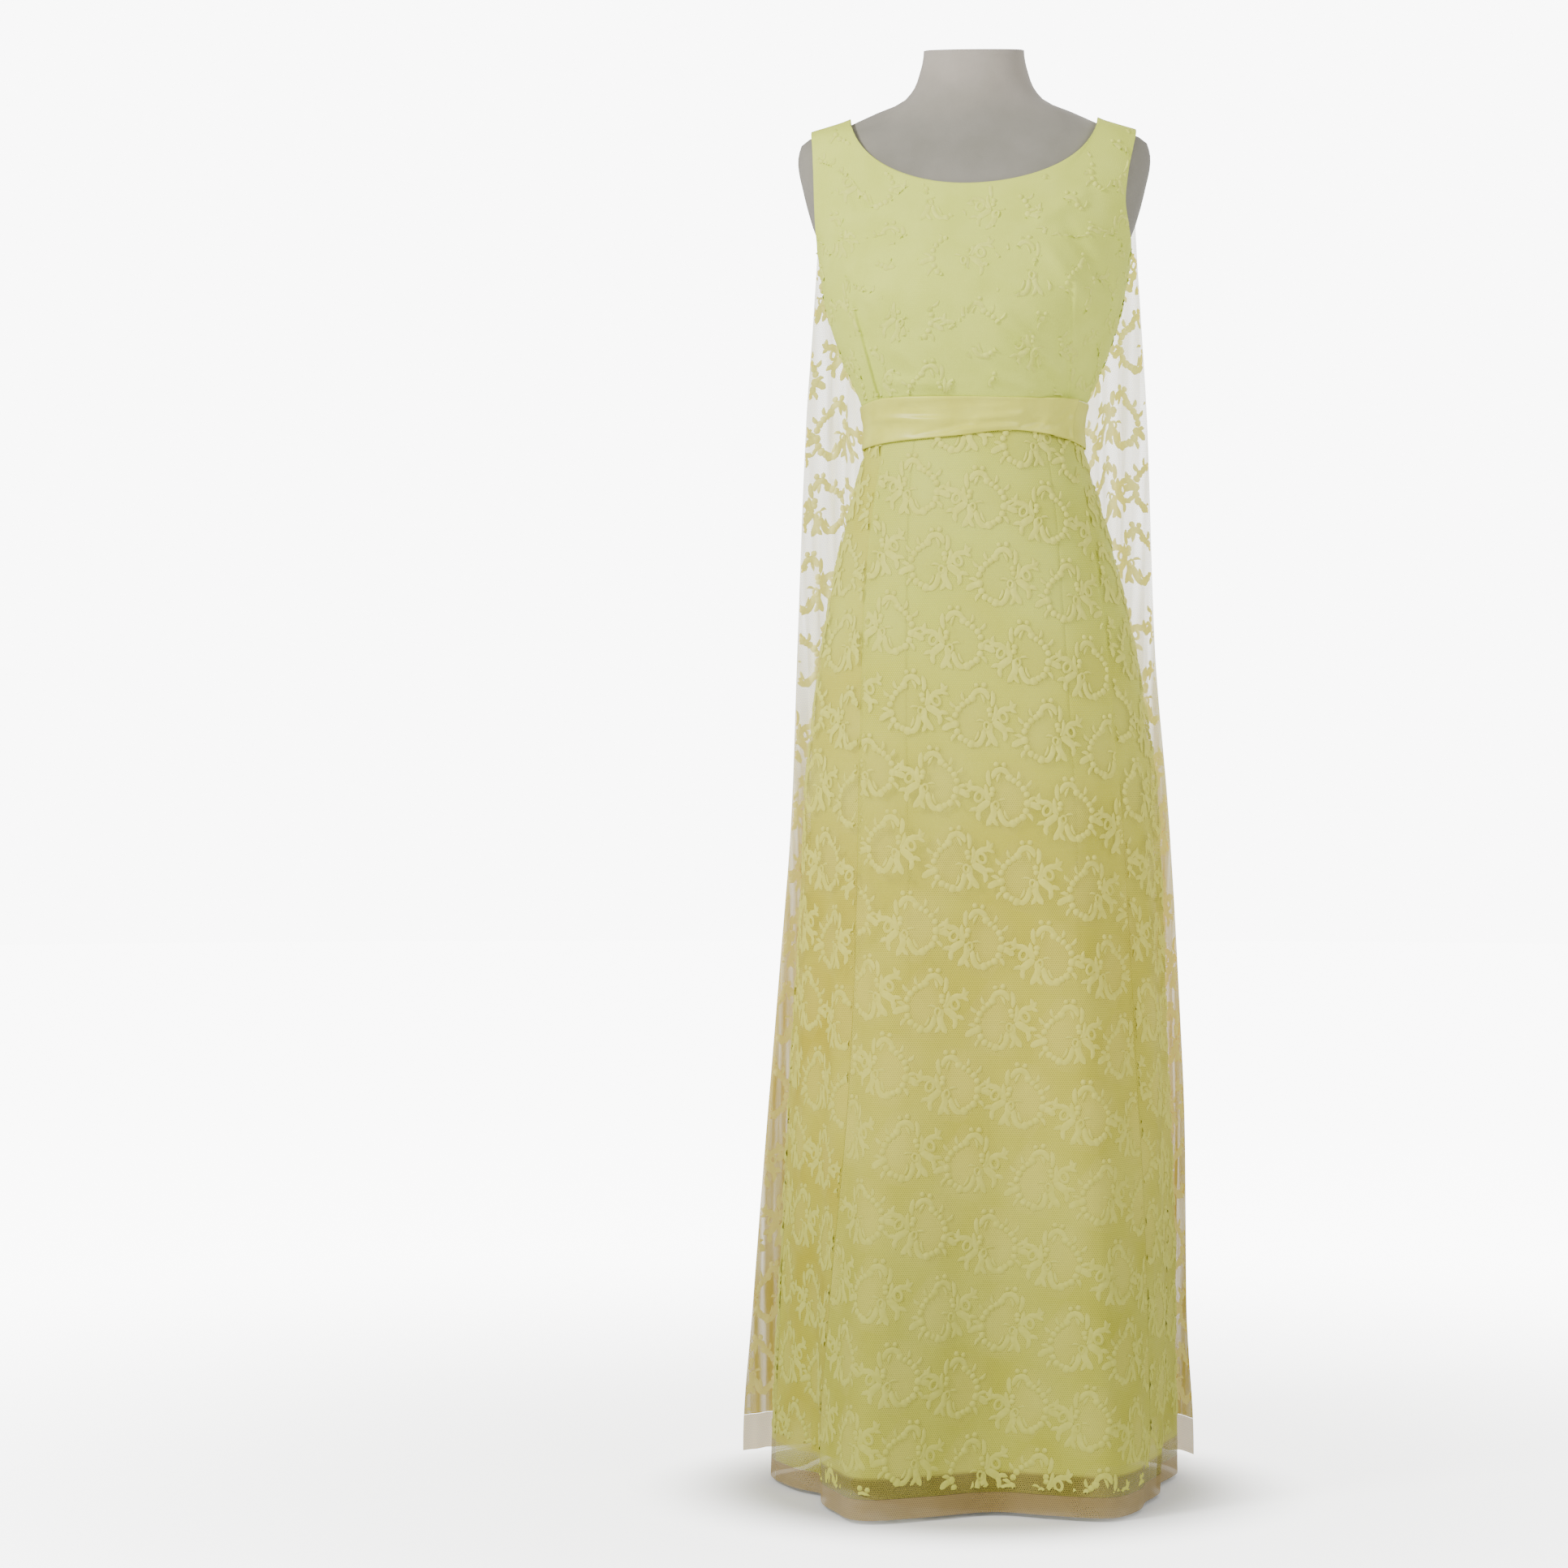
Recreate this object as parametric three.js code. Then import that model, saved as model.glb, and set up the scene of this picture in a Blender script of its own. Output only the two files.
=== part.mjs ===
// An evening dress on a dress form: a sleeveless lace gown with a satin belt, an opaque skirt
// lining, a five-gore lace skirt and a sheer back train, on a limbless torso with a plain stand.
// Millimetres, +Z up. The front faces -Y, and left and right are as seen from the front.
// The origin is the centre of the stand's underside, on the floor.

import * as THREE from 'three';

// ---------------------------------------------------------------- driving dimensions

const SEAM_GAP = 0.3; // between two pieces that are sewn together
const REST_GAP = 0.9; // between a curved piece and what it lies on

const WAIST_SEAM = 1077; // height of the seam that the belt covers
const UNDERARM = 1257; // height of the armholes' lowest points
const HEM_HEIGHT = 4; // height of the lace and train hems over the floor
const LINING_HEM = 42;
const NET_BAND = 20; // depth of the plain net band at the lace skirt's foot
const TRAIN_HEM_BAND = 38; // depth of the train's turned hem

const BODICE_WALL = 2.4;
const LINING_WALL = 1.0;
const LACE_WALL = 1.1;
const LACE_WALL_FLARE = 0.9; // extra wall at the hem, where the flutes' sides are steep
const BELT_WALL = 1.8;
const PLACKET_WALL = 1.2;
const TRAIN_WALL = 1.4;

const BODY_EASE = 2.1; // between the form and the cloth
const SHOULDER_EASE = 2.3; // the same on the shoulders, which carry the dress
const EASE_CHANGE = { from: 1280, to: 1350 }; // heights between which the one becomes the other
const SHOULDER_TURN = { from: 1330, to: 1370 }; // where the sides turn over into the shoulders
const SHOULDER_WIDEST = 1348;

const NECK_LOW = 1313; // lowest point of the front neckline
const NECK_CORNER = 1386; // where the neckline meets the shoulder seam
const NECK_DIP_X = -8; // the front neckline dips a little to the left
const NECK_HALF_WIDTH = 125;
const BACK_NECK_LOW = 1346;
const NECK_TURNS = [0, 17, 33, 48, 61, 72, 80, 85.5, 88.7]; // where columns meet the neckline
const STRAP_COLUMNS = 5;
const COLUMN_SPREAD = 0.85; // below 1 the columns stand closer together at the side seams
const CENTRE_BACK_SHARE = 0.0015; // parts the two back halves
const BODICE_LOWER_ROWS = [0, 0.133, 0.3, 0.49, 0.67, 0.84]; // shares of the way to the underarm
const BODICE_UPPER_ROWS = [0, 0.06, 0.15, 0.28, 0.43, 0.58, 0.71, 0.82, 0.92, 1]; // and on up
const ROW_CROWDING = { from: 20, to: 80, power: 1.7 }; // rows crowd together near the ridge

const BELT_END_ANGLE = 61; // where the front of the belt ends, degrees from the front
const BELT_LAP_ANGLE = 11; // how far the front end laps over the back piece
const BELT_LAP_LIFT = BELT_WALL + SEAM_GAP + 0.4;
const BELT_LAP_RISE = { from: 14, to: 3 }; // degrees before the lap in which the front end lifts
const BELT_CROWN = 1.6; // how far the band's middle stands out past its edges
const BELT_ROWS = [0, 0.5, 1]; // shares of the way up the band
const BELT_COLUMNS = { front: 22, back: 30 };
const BELT_SIDE = { from: 85, to: 110 }; // degrees over which its edges level out behind
const BELT_SEAM = 0.1; // half the gap between its two pieces at the left side, degrees
const BELT_OVER_PLACKET = { from: 20, to: 8 }; // degrees from the centre back

const PLACKET_HALF_WIDTH = 9;
const PLACKET_TOP = 1338;
const PLACKET_BOTTOM = 905;
const PLACKET_LEVELS = [1310, 1295, 1280, 1240, 1198, 1150, 1110, 1077, 1054, 1020, 975];
const PLACKET_TURN = 0.5; // degrees round the skirt for each millimetre across it

const POLE_RADIUS = 13;
const COLLAR_RADIUS = 20;
const COLLAR_FLARE = 6; // how far the foot's collar spreads at the base
const COLLAR_HEIGHT = { foot: 45, shoulder: 10, top: 34, neck: 6 };
const POLE_SEGMENTS = 20;
const BASE_RADIUS = 125;
const BASE_HEIGHT = 12;
const BASE_RIM = 4;
const BASE_BEVEL = { across: 12, down: 3 };
const BASE_FLAT_RADIUS = 30;
const BASE_SEGMENTS = 40;

// The form's level sections: half width, depth to the front and to the back, and the power of
// the superellipse that joins them.
const FIGURE = [
  { z: 760, side: 148, front: 104, back: 116, power: 2.2 },
  { z: 810, side: 151, front: 108, back: 123, power: 2.2 },
  { z: 870, side: 145, front: 107, back: 121, power: 2.2 },
  { z: 950, side: 124, front: 98, back: 101, power: 2.2 },
  { z: 1010, side: 109, front: 88, back: 84, power: 2.2 },
  { z: 1050, side: 103, front: 83, back: 76, power: 2.2 },
  { z: 1077, side: 104, front: 83, back: 75, power: 2.2 },
  { z: 1100, side: 110, front: 91, back: 77, power: 2.25 },
  { z: 1150, side: 131, front: 114, back: 81, power: 2.3 },
  { z: 1198, side: 146, front: 124, back: 86, power: 2.35 },
  { z: 1228, side: 151, front: 119, back: 90, power: 2.35 },
  { z: 1257, side: 155, front: 109, back: 93, power: 2.35 },
  { z: 1282, side: 164, front: 97, back: 95, power: 2.25 },
  { z: 1315, side: 173, front: 82, back: 90, power: 2.1 },
  { z: 1348, side: 179, front: 67, back: 79, power: 1.9 },
  { z: 1366, side: 175, front: 60, back: 70, power: 1.72 },
  { z: 1373, side: 163, front: 57, back: 67, power: 1.65 },
  { z: 1378, side: 147, front: 55, back: 65, power: 1.62 },
  { z: 1384, side: 128, front: 53, back: 63, power: 1.62 },
  { z: 1395, side: 104, front: 51, back: 60, power: 1.75 },
  { z: 1403, side: 82, front: 50, back: 57, power: 1.9 },
  { z: 1411, side: 69, front: 49, back: 54, power: 2 },
  { z: 1428, side: 58, front: 47, back: 51, power: 2 },
  { z: 1461, side: 51, front: 44, back: 48, power: 2 },
];

const RIDGE_PRECISION = 1e-6;

// Level rows of the form between its sections' own heights.
const FORM_EXTRA_LEVELS = [910, 1125, 1175, 1332, 1358, 1419];
const FORM_COLUMNS = 36;

// Half width of the front and back bodice at the armholes' edges.
const ARMHOLE = [
  { z: 1257, left: 159, right: 159 },
  { z: 1275, left: 160, right: 155.5 },
  { z: 1300, left: 161, right: 152 },
  { z: 1330, left: 162, right: 155 },
  { z: 1360, left: 163.5, right: 161 },
  { z: 1376, left: 165, right: 164 },
];

// The lining's inner surface, with how far its middle leans to the right and how far the lace
// stands off it all round.
const SKIRT = [
  { z: 10, side: 164, front: 150, back: 167, power: 2.55, lean: 12, stand: 38 },
  { z: 42, side: 165, front: 150, back: 166, power: 2.55, lean: 12, stand: 37 },
  { z: 250, side: 169, front: 146, back: 160, power: 2.5, lean: 12, stand: 28 },
  { z: 500, side: 172, front: 138, back: 150, power: 2.4, lean: 10, stand: 15 },
  { z: 700, side: 172, front: 129, back: 141, power: 2.35, lean: 7, stand: 4.5 },
  { z: 780, side: 166, front: 124, back: 136, power: 2.3, lean: 5, stand: 1 },
  { z: 850, side: 157, front: 118, back: 130, power: 2.3, lean: 4, stand: 0 },
  { z: 950, side: 137, front: 108, back: 110, power: 2.25, lean: 2, stand: 0 },
  { z: 1000, side: 124, front: 101, back: 98, power: 2.2, lean: 1, stand: 0 },
  { z: 1054, side: 109, front: 90, back: 84, power: 2.2, lean: 0, stand: 0 },
  { z: 1077, side: 105.6, front: 84.6, back: 76.6, power: 2.2, lean: 0, stand: 0 },
];
const LACE_LEVELS = [1054, 1020, 975, 915, 850, 780, 700, 600, 480, 350, 220, 110];
const LINING_LEVELS = [1054, 1020, 975, 915, 850, 780, 700, 480, 250];

// The lace skirt's flutes at the hem: how far each stands out (or in), and how wide it is.
const FLUTES = [
  { name: 'front left', angle: -31, out: 38, spread: 10.5 },
  { name: 'front middle', angle: 4, out: -36, spread: 17 },
  { name: 'front right', angle: 33, out: 17, spread: 9 },
  { name: 'left valley', angle: -67, out: -32, spread: 13 },
  { name: 'left side', angle: -104, out: 22, spread: 11 },
  { name: 'right front valley', angle: 62, out: -25, spread: 14 },
  { name: 'right valley', angle: 88, out: -31, spread: 18 },
  { name: 'right side', angle: 118, out: 8, spread: 12 },
  { name: 'back right valley', angle: 139, out: -14, spread: 10 },
  { name: 'back right', angle: 164, out: 22, spread: 12 },
  { name: 'back valley', angle: -170, out: -14, spread: 10 },
  { name: 'back left', angle: -144, out: 26, spread: 13 },
  { name: 'back left valley', angle: -114, out: -8, spread: 10 },
];
const FLUTE_TOP = 840; // where the flutes start
const FLUTE_GROWTH = 1.45;

// Angles of the front gore's two seams, degrees from the front.
const FRONT_SEAMS = [
  { z: 10, left: -57, right: 61 },
  { z: 200, left: -50, right: 57 },
  { z: 450, left: -46, right: 55 },
  { z: 700, left: -48, right: 56 },
  { z: 900, left: -52, right: 59 },
  { z: 1077, left: -58, right: 66 },
];
const SIDE_SEAM_ANGLE = 93;
// The lining's front gore is narrower than the lace's by this share of it at each side.
const LINING_SEAM_SHARE = 1 / 6;
const GORE_COLUMNS = { frontMiddle: 12, frontEdge: 3, side: 6, back: 9 };

// The train: half width to each side, and how far back its edges and its middle hang.
const TRAIN = [
  { z: 10, left: 246, right: 233, edge: 186, middle: 262, fold: 20 },
  { z: 164, left: 235, right: 225, edge: 178, middle: 246, fold: 19 },
  { z: 339, left: 221, right: 223, edge: 168, middle: 228, fold: 18 },
  { z: 513, left: 206, right: 215, edge: 154, middle: 208, fold: 17 },
  { z: 686, left: 192, right: 204, edge: 138, middle: 184, fold: 15 },
  { z: 857, left: 185, right: 189, edge: 118, middle: 158, fold: 13 },
  { z: 1094, left: 174, right: 179, edge: 82, middle: 122, fold: 10 },
  { z: 1200, left: 166, right: 172, edge: 70, middle: 114, fold: 9 },
  { z: 1290, left: 161, right: 166, edge: 55, middle: 110, fold: 7 },
  { z: 1380, left: 163, right: 163, edge: 26, middle: 82, fold: 3 },
];
const TRAIN_SEAM = 8; // how far under the neckline the train is sewn on
const TRAIN_FULLNESS = 3.2; // how square the train hangs round the back
const TRAIN_RELEASE = 85; // how far below its top edge it leaves the bodice
const TRAIN_SEAT = 1.9; // how far its top edge stands off the bodice
const TRAIN_CLEAR = 4; // how far it stands off the shoulders there
const TRAIN_LEVELS = [1290, 1230, 1150, 1050, 920, 780, 640, 500, 350, 190];
const TRAIN_EDGE_COLUMNS = [-1, -0.9, -0.83, -0.79, -0.755, -0.715]; // on its flat left side
const TRAIN_CLEAR_DEPTH = 22; // how far below its top edge it stands off that much
const TRAIN_OVER_PLACKET = 16; // half width of the rise over the placket
const TRAIN_FOLD_START = 0.3; // share of the folds' depth at the top edge
const TRAIN_NORMAL_STEP = 0.004;
const TRAIN_TOP_ROWS = [0, 0.05, 0.12, 0.3, 0.6]; // shares of the way down to the first level

// The train's folds: where each stands across it (-1 is the left edge, 1 the right), its depth
// against the section's own fold depth, and its half width.
const TRAIN_FOLDS = [
  { at: -0.62, depth: 0.55, spread: 0.06 },
  { at: -0.47, depth: 0.9, spread: 0.05 },
  { at: -0.34, depth: 0.75, spread: 0.045 },
  { at: -0.2, depth: 1.1, spread: 0.05 },
  { at: -0.07, depth: 0.8, spread: 0.045 },
  { at: 0.06, depth: 1, spread: 0.05 },
  { at: 0.19, depth: 0.85, spread: 0.045 },
  { at: 0.32, depth: 1.15, spread: 0.05 },
  { at: 0.45, depth: 0.8, spread: 0.045 },
  { at: 0.58, depth: 1.05, spread: 0.05 },
  { at: 0.71, depth: 0.9, spread: 0.045 },
  { at: 0.83, depth: 1.1, spread: 0.042 },
  { at: 0.94, depth: 0.7, spread: 0.035 },
];

// The belt's top and bottom edges across its front, by the distance from the middle.
const BELT_EDGES = [
  { x: -112, top: 1097, bottom: 1054 },
  { x: -80, top: 1101, bottom: 1057 },
  { x: -20, top: 1100, bottom: 1061 },
  { x: 38, top: 1099, bottom: 1067 },
  { x: 90, top: 1100, bottom: 1060 },
  { x: 112, top: 1099, bottom: 1054 },
];
const BELT_BACK_TOP = 1098;
const BELT_BACK_BOTTOM = 1055;

// ---------------------------------------------------------------- finishes

const cloth = (color, roughness) => new THREE.MeshStandardMaterial({ color, roughness, metalness: 0 });
const LACE = cloth(0xcfcd95, 0.85);
const LINING = cloth(0xc9c27a, 0.6);
const SATIN = cloth(0xd2ce99, 0.35);
const NET = cloth(0xd8d3b0, 0.9);
const FORM_COVER = cloth(0xaca69c, 0.95);
const STAND_PAINT = new THREE.MeshStandardMaterial({ color: 0x4a453f, roughness: 0.55, metalness: 0.6 });

// ---------------------------------------------------------------- numbers

const radians = (degrees) => (degrees * Math.PI) / 180;
const mix = (from, to, share) => from + (to - from) * share;

function smooth(from, to, value) {
  const share = Math.min(1, Math.max(0, (value - from) / (to - from)));
  return share * share * (3 - 2 * share);
}

/** Slope of a table's column at row k that keeps the curve from overshooting its rows. */
function slopeAt(table, column, key, k) {
  if (k === 0 || k === table.length - 1) {
    return 0;
  }
  const before = (table[k][column] - table[k - 1][column]) / (table[k][key] - table[k - 1][key]);
  const after = (table[k + 1][column] - table[k][column]) / (table[k + 1][key] - table[k][key]);
  return before * after <= 0 ? 0 : (2 * before * after) / (before + after);
}

/** A table's column at a height, or at another key, on a smooth curve through its rows. */
function valueAt(table, column, value, key = 'z') {
  const last = table.length - 1;
  if (value <= table[0][key]) {
    return table[0][column];
  }
  if (value >= table[last][key]) {
    return table[last][column];
  }
  const k = table.findIndex((row) => row[key] > value) - 1;
  const step = table[k + 1][key] - table[k][key];
  const s = (value - table[k][key]) / step;
  const rise = slopeAt(table, column, key, k) * step;
  const fall = slopeAt(table, column, key, k + 1) * step;
  const from = (1 + 2 * s) * (1 - s) ** 2 * table[k][column] + s * (1 - s) ** 2 * rise;
  const to = s * s * (3 - 2 * s) * table[k + 1][column] + s * s * (s - 1) * fall;
  return from + to;
}

// ---------------------------------------------------------------- solids from grids of points

/** A geometry from points and triangles, turned so that its faces point out. */
function solid(points, triangles) {
  let volume = 0;
  for (const [a, b, c] of triangles) {
    volume += points[a].dot(new THREE.Vector3().crossVectors(points[b], points[c]));
  }
  const faces = volume < 0 ? triangles.map(([a, b, c]) => [a, c, b]) : triangles;
  const geometry = new THREE.BufferGeometry().setFromPoints(points);
  geometry.setIndex(faces.flat());
  geometry.computeVertexNormals();
  return geometry;
}

/** A closed wall between an inner and an outer grid of the same rows and columns. */
function wall(inner, outer) {
  const rows = inner.length;
  const columns = inner[0].length;
  const points = [...inner.flat(), ...outer.flat()];
  const at = (side, row, column) => (side * rows + row) * columns + column;
  const triangles = [];
  const quad = (a, b, c, d) => triangles.push([a, b, c], [a, c, d]);
  for (let i = 0; i < rows - 1; i += 1) {
    for (let j = 0; j < columns - 1; j += 1) {
      quad(at(0, i, j), at(0, i + 1, j), at(0, i + 1, j + 1), at(0, i, j + 1));
      quad(at(1, i, j), at(1, i, j + 1), at(1, i + 1, j + 1), at(1, i + 1, j));
    }
    quad(at(0, i, 0), at(1, i, 0), at(1, i + 1, 0), at(0, i + 1, 0));
    const end = columns - 1;
    quad(at(0, i, end), at(0, i + 1, end), at(1, i + 1, end), at(1, i, end));
  }
  for (let j = 0; j < columns - 1; j += 1) {
    quad(at(0, 0, j), at(0, 0, j + 1), at(1, 0, j + 1), at(1, 0, j));
    const end = rows - 1;
    quad(at(0, end, j), at(1, end, j), at(1, end, j + 1), at(0, end, j + 1));
  }
  return solid(points, triangles);
}

/** A closed solid through level rings of the same number of points, with flat ends. */
function loft(rings) {
  const count = rings[0].length;
  const points = rings.flat();
  const triangles = [];
  for (let i = 0; i < rings.length - 1; i += 1) {
    for (let j = 0; j < count; j += 1) {
      const a = i * count + j;
      const b = i * count + ((j + 1) % count);
      triangles.push([a, b, b + count], [a, b + count, a + count]);
    }
  }
  const last = (rings.length - 1) * count;
  const ends = [
    { first: 0, turn: [1, 0] },
    { first: last, turn: [0, 1] },
  ];
  for (const { first, turn } of ends) {
    const middle = points.length;
    points.push(new THREE.Vector3(0, 0, points[first].z));
    for (let j = 0; j < count; j += 1) {
      const edge = [first + j, first + ((j + 1) % count)];
      triangles.push([middle, edge[turn[0]], edge[turn[1]]]);
    }
  }
  return solid(points, triangles);
}

/** A round solid about the Z axis from [radius, height] pairs that start and end on the axis. */
function turned(profile, segments) {
  const outline = profile.map(([radius, height]) => new THREE.Vector2(radius, height));
  const geometry = new THREE.LatheGeometry(outline, segments);
  geometry.rotateX(Math.PI / 2);
  return geometry;
}

function piece(name, geometry, material) {
  const mesh = new THREE.Mesh(geometry, material);
  mesh.name = name;
  return mesh;
}

// ---------------------------------------------------------------- the figure and the bodice

/** The figure's section at a height, grown by an offset all round and over the shoulders. */
function figureSection(z, offset) {
  const level = z - offset * smooth(SHOULDER_TURN.from, SHOULDER_TURN.to, z);
  return {
    side: valueAt(FIGURE, 'side', level) + offset,
    front: valueAt(FIGURE, 'front', level) + offset,
    back: valueAt(FIGURE, 'back', level) + offset,
    power: valueAt(FIGURE, 'power', level),
  };
}

/** How far a surface of the figure lies from the side seams' plane; facing is -1 in front. */
function depthAt(x, z, offset, facing) {
  const section = figureSection(z, offset);
  const share = Math.min(1, Math.abs(x) / section.side);
  const full = facing < 0 ? section.front : section.back;
  const depth = full * (1 - share ** section.power) ** (1 / section.power);
  return facing * Math.max(SEAM_GAP / 2, depth);
}

/** Height of the shoulder's ridge at a distance from the middle. */
function ridgeHeight(x, offset) {
  let low = SHOULDER_WIDEST;
  let high = FIGURE[FIGURE.length - 1].z;
  while (high - low > RIDGE_PRECISION) {
    const middle = (low + high) / 2;
    if (figureSection(middle, offset).side > Math.abs(x)) {
      low = middle;
    } else {
      high = middle;
    }
  }
  return low;
}

/** Gap between the form and the cloth at a height. */
const easeAt = (z) => mix(BODY_EASE, SHOULDER_EASE, smooth(EASE_CHANGE.from, EASE_CHANGE.to, z));

/** The neckline's lowest point, in front or behind: its distance from the middle and height. */
const neckDip = (facing) => (facing < 0 ? { x: NECK_DIP_X, z: NECK_LOW } : { x: 0, z: BACK_NECK_LOW });

/** A point on the neckline's quarter ellipse, by its turn from the lowest point, degrees. */
function neckPoint(turn, side, offset, facing) {
  const dip = neckDip(facing);
  const x = mix(dip.x, side * NECK_HALF_WIDTH, Math.sin(radians(turn)));
  const corner = ridgeHeight(NECK_HALF_WIDTH, offset);
  return { x, z: mix(corner, dip.z, Math.cos(radians(turn))) };
}

/** Half width of the bodice at a height: the side seam, and above it the armhole's edge. */
function bodiceHalfWidth(z, offset, side) {
  const seam = figureSection(z, offset).side;
  const column = side < 0 ? 'left' : 'right';
  return z <= UNDERARM ? seam : Math.min(seam, valueAt(ARMHOLE, column, z));
}

/**
 * The columns across half a bodice: their share of the half width at the underarm, and where
 * they end, by their turn along the neckline or their share of the way across the strap.
 */
function bodiceColumns() {
  const onNeck = NECK_TURNS.length;
  const last = onNeck + STRAP_COLUMNS;
  return Array.from({ length: last + 1 }, (_, k) => ({
    share: Math.sin(radians((90 * k) / last)) ** COLUMN_SPREAD,
    turn: k < onNeck ? NECK_TURNS[k] : 90,
    strap: Math.max(0, k - onNeck) / STRAP_COLUMNS,
  }));
}

/** Where a column of the bodice ends: on the neckline, or on the shoulder's ridge. */
function columnTop({ turn, strap }, side, offset, facing) {
  if (turn < 90) {
    return neckPoint(turn, side, offset, facing);
  }
  const outer = valueAt(ARMHOLE, side < 0 ? 'left' : 'right', NECK_CORNER);
  const x = side * mix(NECK_HALF_WIDTH, outer, strap);
  return { x, z: ridgeHeight(x, offset) };
}

/** A point of the bodice on a column, left (-1) or right (1), and a row of its two parts. */
function bodicePoint({ column, side }, { part, share: up }, layer, facing) {
  const offset = (z) => easeAt(z) + layer * BODICE_WALL;
  const top = columnTop(column, side, offset(NECK_CORNER), facing);
  const crowded = smooth(ROW_CROWDING.from, ROW_CROWDING.to, column.turn);
  const eased = mix(up, 1 - (1 - up) ** ROW_CROWDING.power, crowded);
  const lowest = WAIST_SEAM + SEAM_GAP / 2;
  const z = part === 'lower' ? mix(lowest, UNDERARM, up) : mix(UNDERARM, top.z, eased);
  const topShare = top.x / bodiceHalfWidth(top.z, offset(top.z), side);
  const ownShare = side * column.share;
  const share = part === 'lower' ? ownShare : mix(ownShare, topShare, smooth(0, 1, up));
  const x = share * bodiceHalfWidth(z, offset(z), side);
  return new THREE.Vector3(x, depthAt(x, z, offset(z), facing), z);
}

function bodiceWall(columns, facing) {
  const lower = BODICE_LOWER_ROWS.map((share) => ({ part: 'lower', share }));
  const upper = BODICE_UPPER_ROWS.map((share) => ({ part: 'upper', share }));
  const rows = [...lower, ...upper];
  const grid = (layer) => rows.map((row) => columns.map((c) => bodicePoint(c, row, layer, facing)));
  return wall(grid(0), grid(1));
}

function bodice() {
  const columns = bodiceColumns();
  const half = (side) => columns.map((column) => ({ column, side }));
  const leftFirst = half(-1).reverse();
  const parted = (side) => {
    const first = { share: CENTRE_BACK_SHARE, turn: 0.1, strap: 0 };
    return [{ column: first, side }, ...half(side).slice(1)];
  };
  return [
    piece('bodice_front', bodiceWall([...leftFirst, ...half(1).slice(1)], -1), LACE),
    piece('bodice_back_left', bodiceWall(parted(-1).reverse(), 1), LACE),
    piece('bodice_back_right', bodiceWall(parted(1), 1), LACE),
  ];
}

// ---------------------------------------------------------------- the dress form and its stand

function formRing(z) {
  const { side, front, back, power } = figureSection(z, 0);
  return Array.from({ length: FORM_COLUMNS }, (_, k) => {
    const turn = (2 * Math.PI * k) / FORM_COLUMNS;
    const sine = Math.sin(turn);
    const cosine = Math.cos(turn);
    const x = side * Math.sign(sine) * Math.abs(sine) ** (2 / power);
    const depth = cosine > 0 ? -front : back;
    return new THREE.Vector3(x, depth * Math.abs(cosine) ** (2 / power), z);
  });
}

function dressForm() {
  const levels = [...FIGURE.map((row) => row.z), ...FORM_EXTRA_LEVELS].sort((a, b) => a - b);
  const bottom = levels[0];
  const poleFoot = BASE_HEIGHT + SEAM_GAP;
  const poleTop = bottom - SEAM_GAP;
  const footCollar = poleFoot + COLLAR_HEIGHT.foot;
  const topCollar = poleTop - COLLAR_HEIGHT.top;
  const base = [
    [0, 0],
    [BASE_RADIUS, 0],
    [BASE_RADIUS, BASE_RIM],
    [BASE_RADIUS - BASE_BEVEL.across, BASE_HEIGHT - BASE_BEVEL.down],
    [BASE_FLAT_RADIUS, BASE_HEIGHT],
    [0, BASE_HEIGHT],
  ];
  const pole = [
    [0, poleFoot],
    [COLLAR_RADIUS + COLLAR_FLARE, poleFoot],
    [COLLAR_RADIUS, footCollar],
    [POLE_RADIUS, footCollar + COLLAR_HEIGHT.shoulder],
    [POLE_RADIUS, topCollar - COLLAR_HEIGHT.neck],
    [COLLAR_RADIUS, topCollar],
    [COLLAR_RADIUS, poleTop],
    [0, poleTop],
  ];
  return [
    piece('form_torso', loft(levels.map(formRing)), FORM_COVER),
    piece('stand_pole', turned(pole, POLE_SEGMENTS), STAND_PAINT),
    piece('stand_base', turned(base, BASE_SEGMENTS), STAND_PAINT),
  ];
}

// ---------------------------------------------------------------- the skirt

/** Radius of a superellipse at an angle from the front, degrees. */
function polarRadius({ side, front, back, power }, angle) {
  const sine = Math.abs(Math.sin(radians(angle)));
  const cosine = Math.cos(radians(angle));
  const depth = cosine > 0 ? front : back;
  return 1 / ((sine / side) ** power + (Math.abs(cosine) / depth) ** power) ** (1 / power);
}

function skirtSection(z) {
  const columns = ['side', 'front', 'back', 'power'];
  return Object.fromEntries(columns.map((column) => [column, valueAt(SKIRT, column, z)]));
}

/** How far the flutes are grown at a height: 0 at their top and 1 at the hem. */
function fluteShare(z) {
  const share = Math.min(1, Math.max(0, (FLUTE_TOP - z) / (FLUTE_TOP - HEM_HEIGHT)));
  return share ** FLUTE_GROWTH;
}

function fluteDepth(angle) {
  return FLUTES.reduce((sum, flute) => {
    const apart = ((angle - flute.angle + 540) % 360) - 180;
    return sum + flute.out * Math.exp(-((apart / flute.spread) ** 2));
  }, 0);
}

const liningInner = (angle, z) => polarRadius(skirtSection(z), angle);
const liningOuter = (angle, z) => liningInner(angle, z) + LINING_WALL;

function laceInner(angle, z) {
  const stand = valueAt(SKIRT, 'stand', z) + fluteShare(z) * fluteDepth(angle);
  return liningOuter(angle, z) + SEAM_GAP + stand;
}

const laceOuter = (angle, z) => laceInner(angle, z) + LACE_WALL + LACE_WALL_FLARE * fluteShare(z);

/** A point at a radius from the skirt's leaning middle. */
function skirtPoint(radius, angle, z) {
  const turn = radians(angle);
  const lean = valueAt(SKIRT, 'lean', z);
  return new THREE.Vector3(lean + radius * Math.sin(turn), -radius * Math.cos(turn), z);
}

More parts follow.
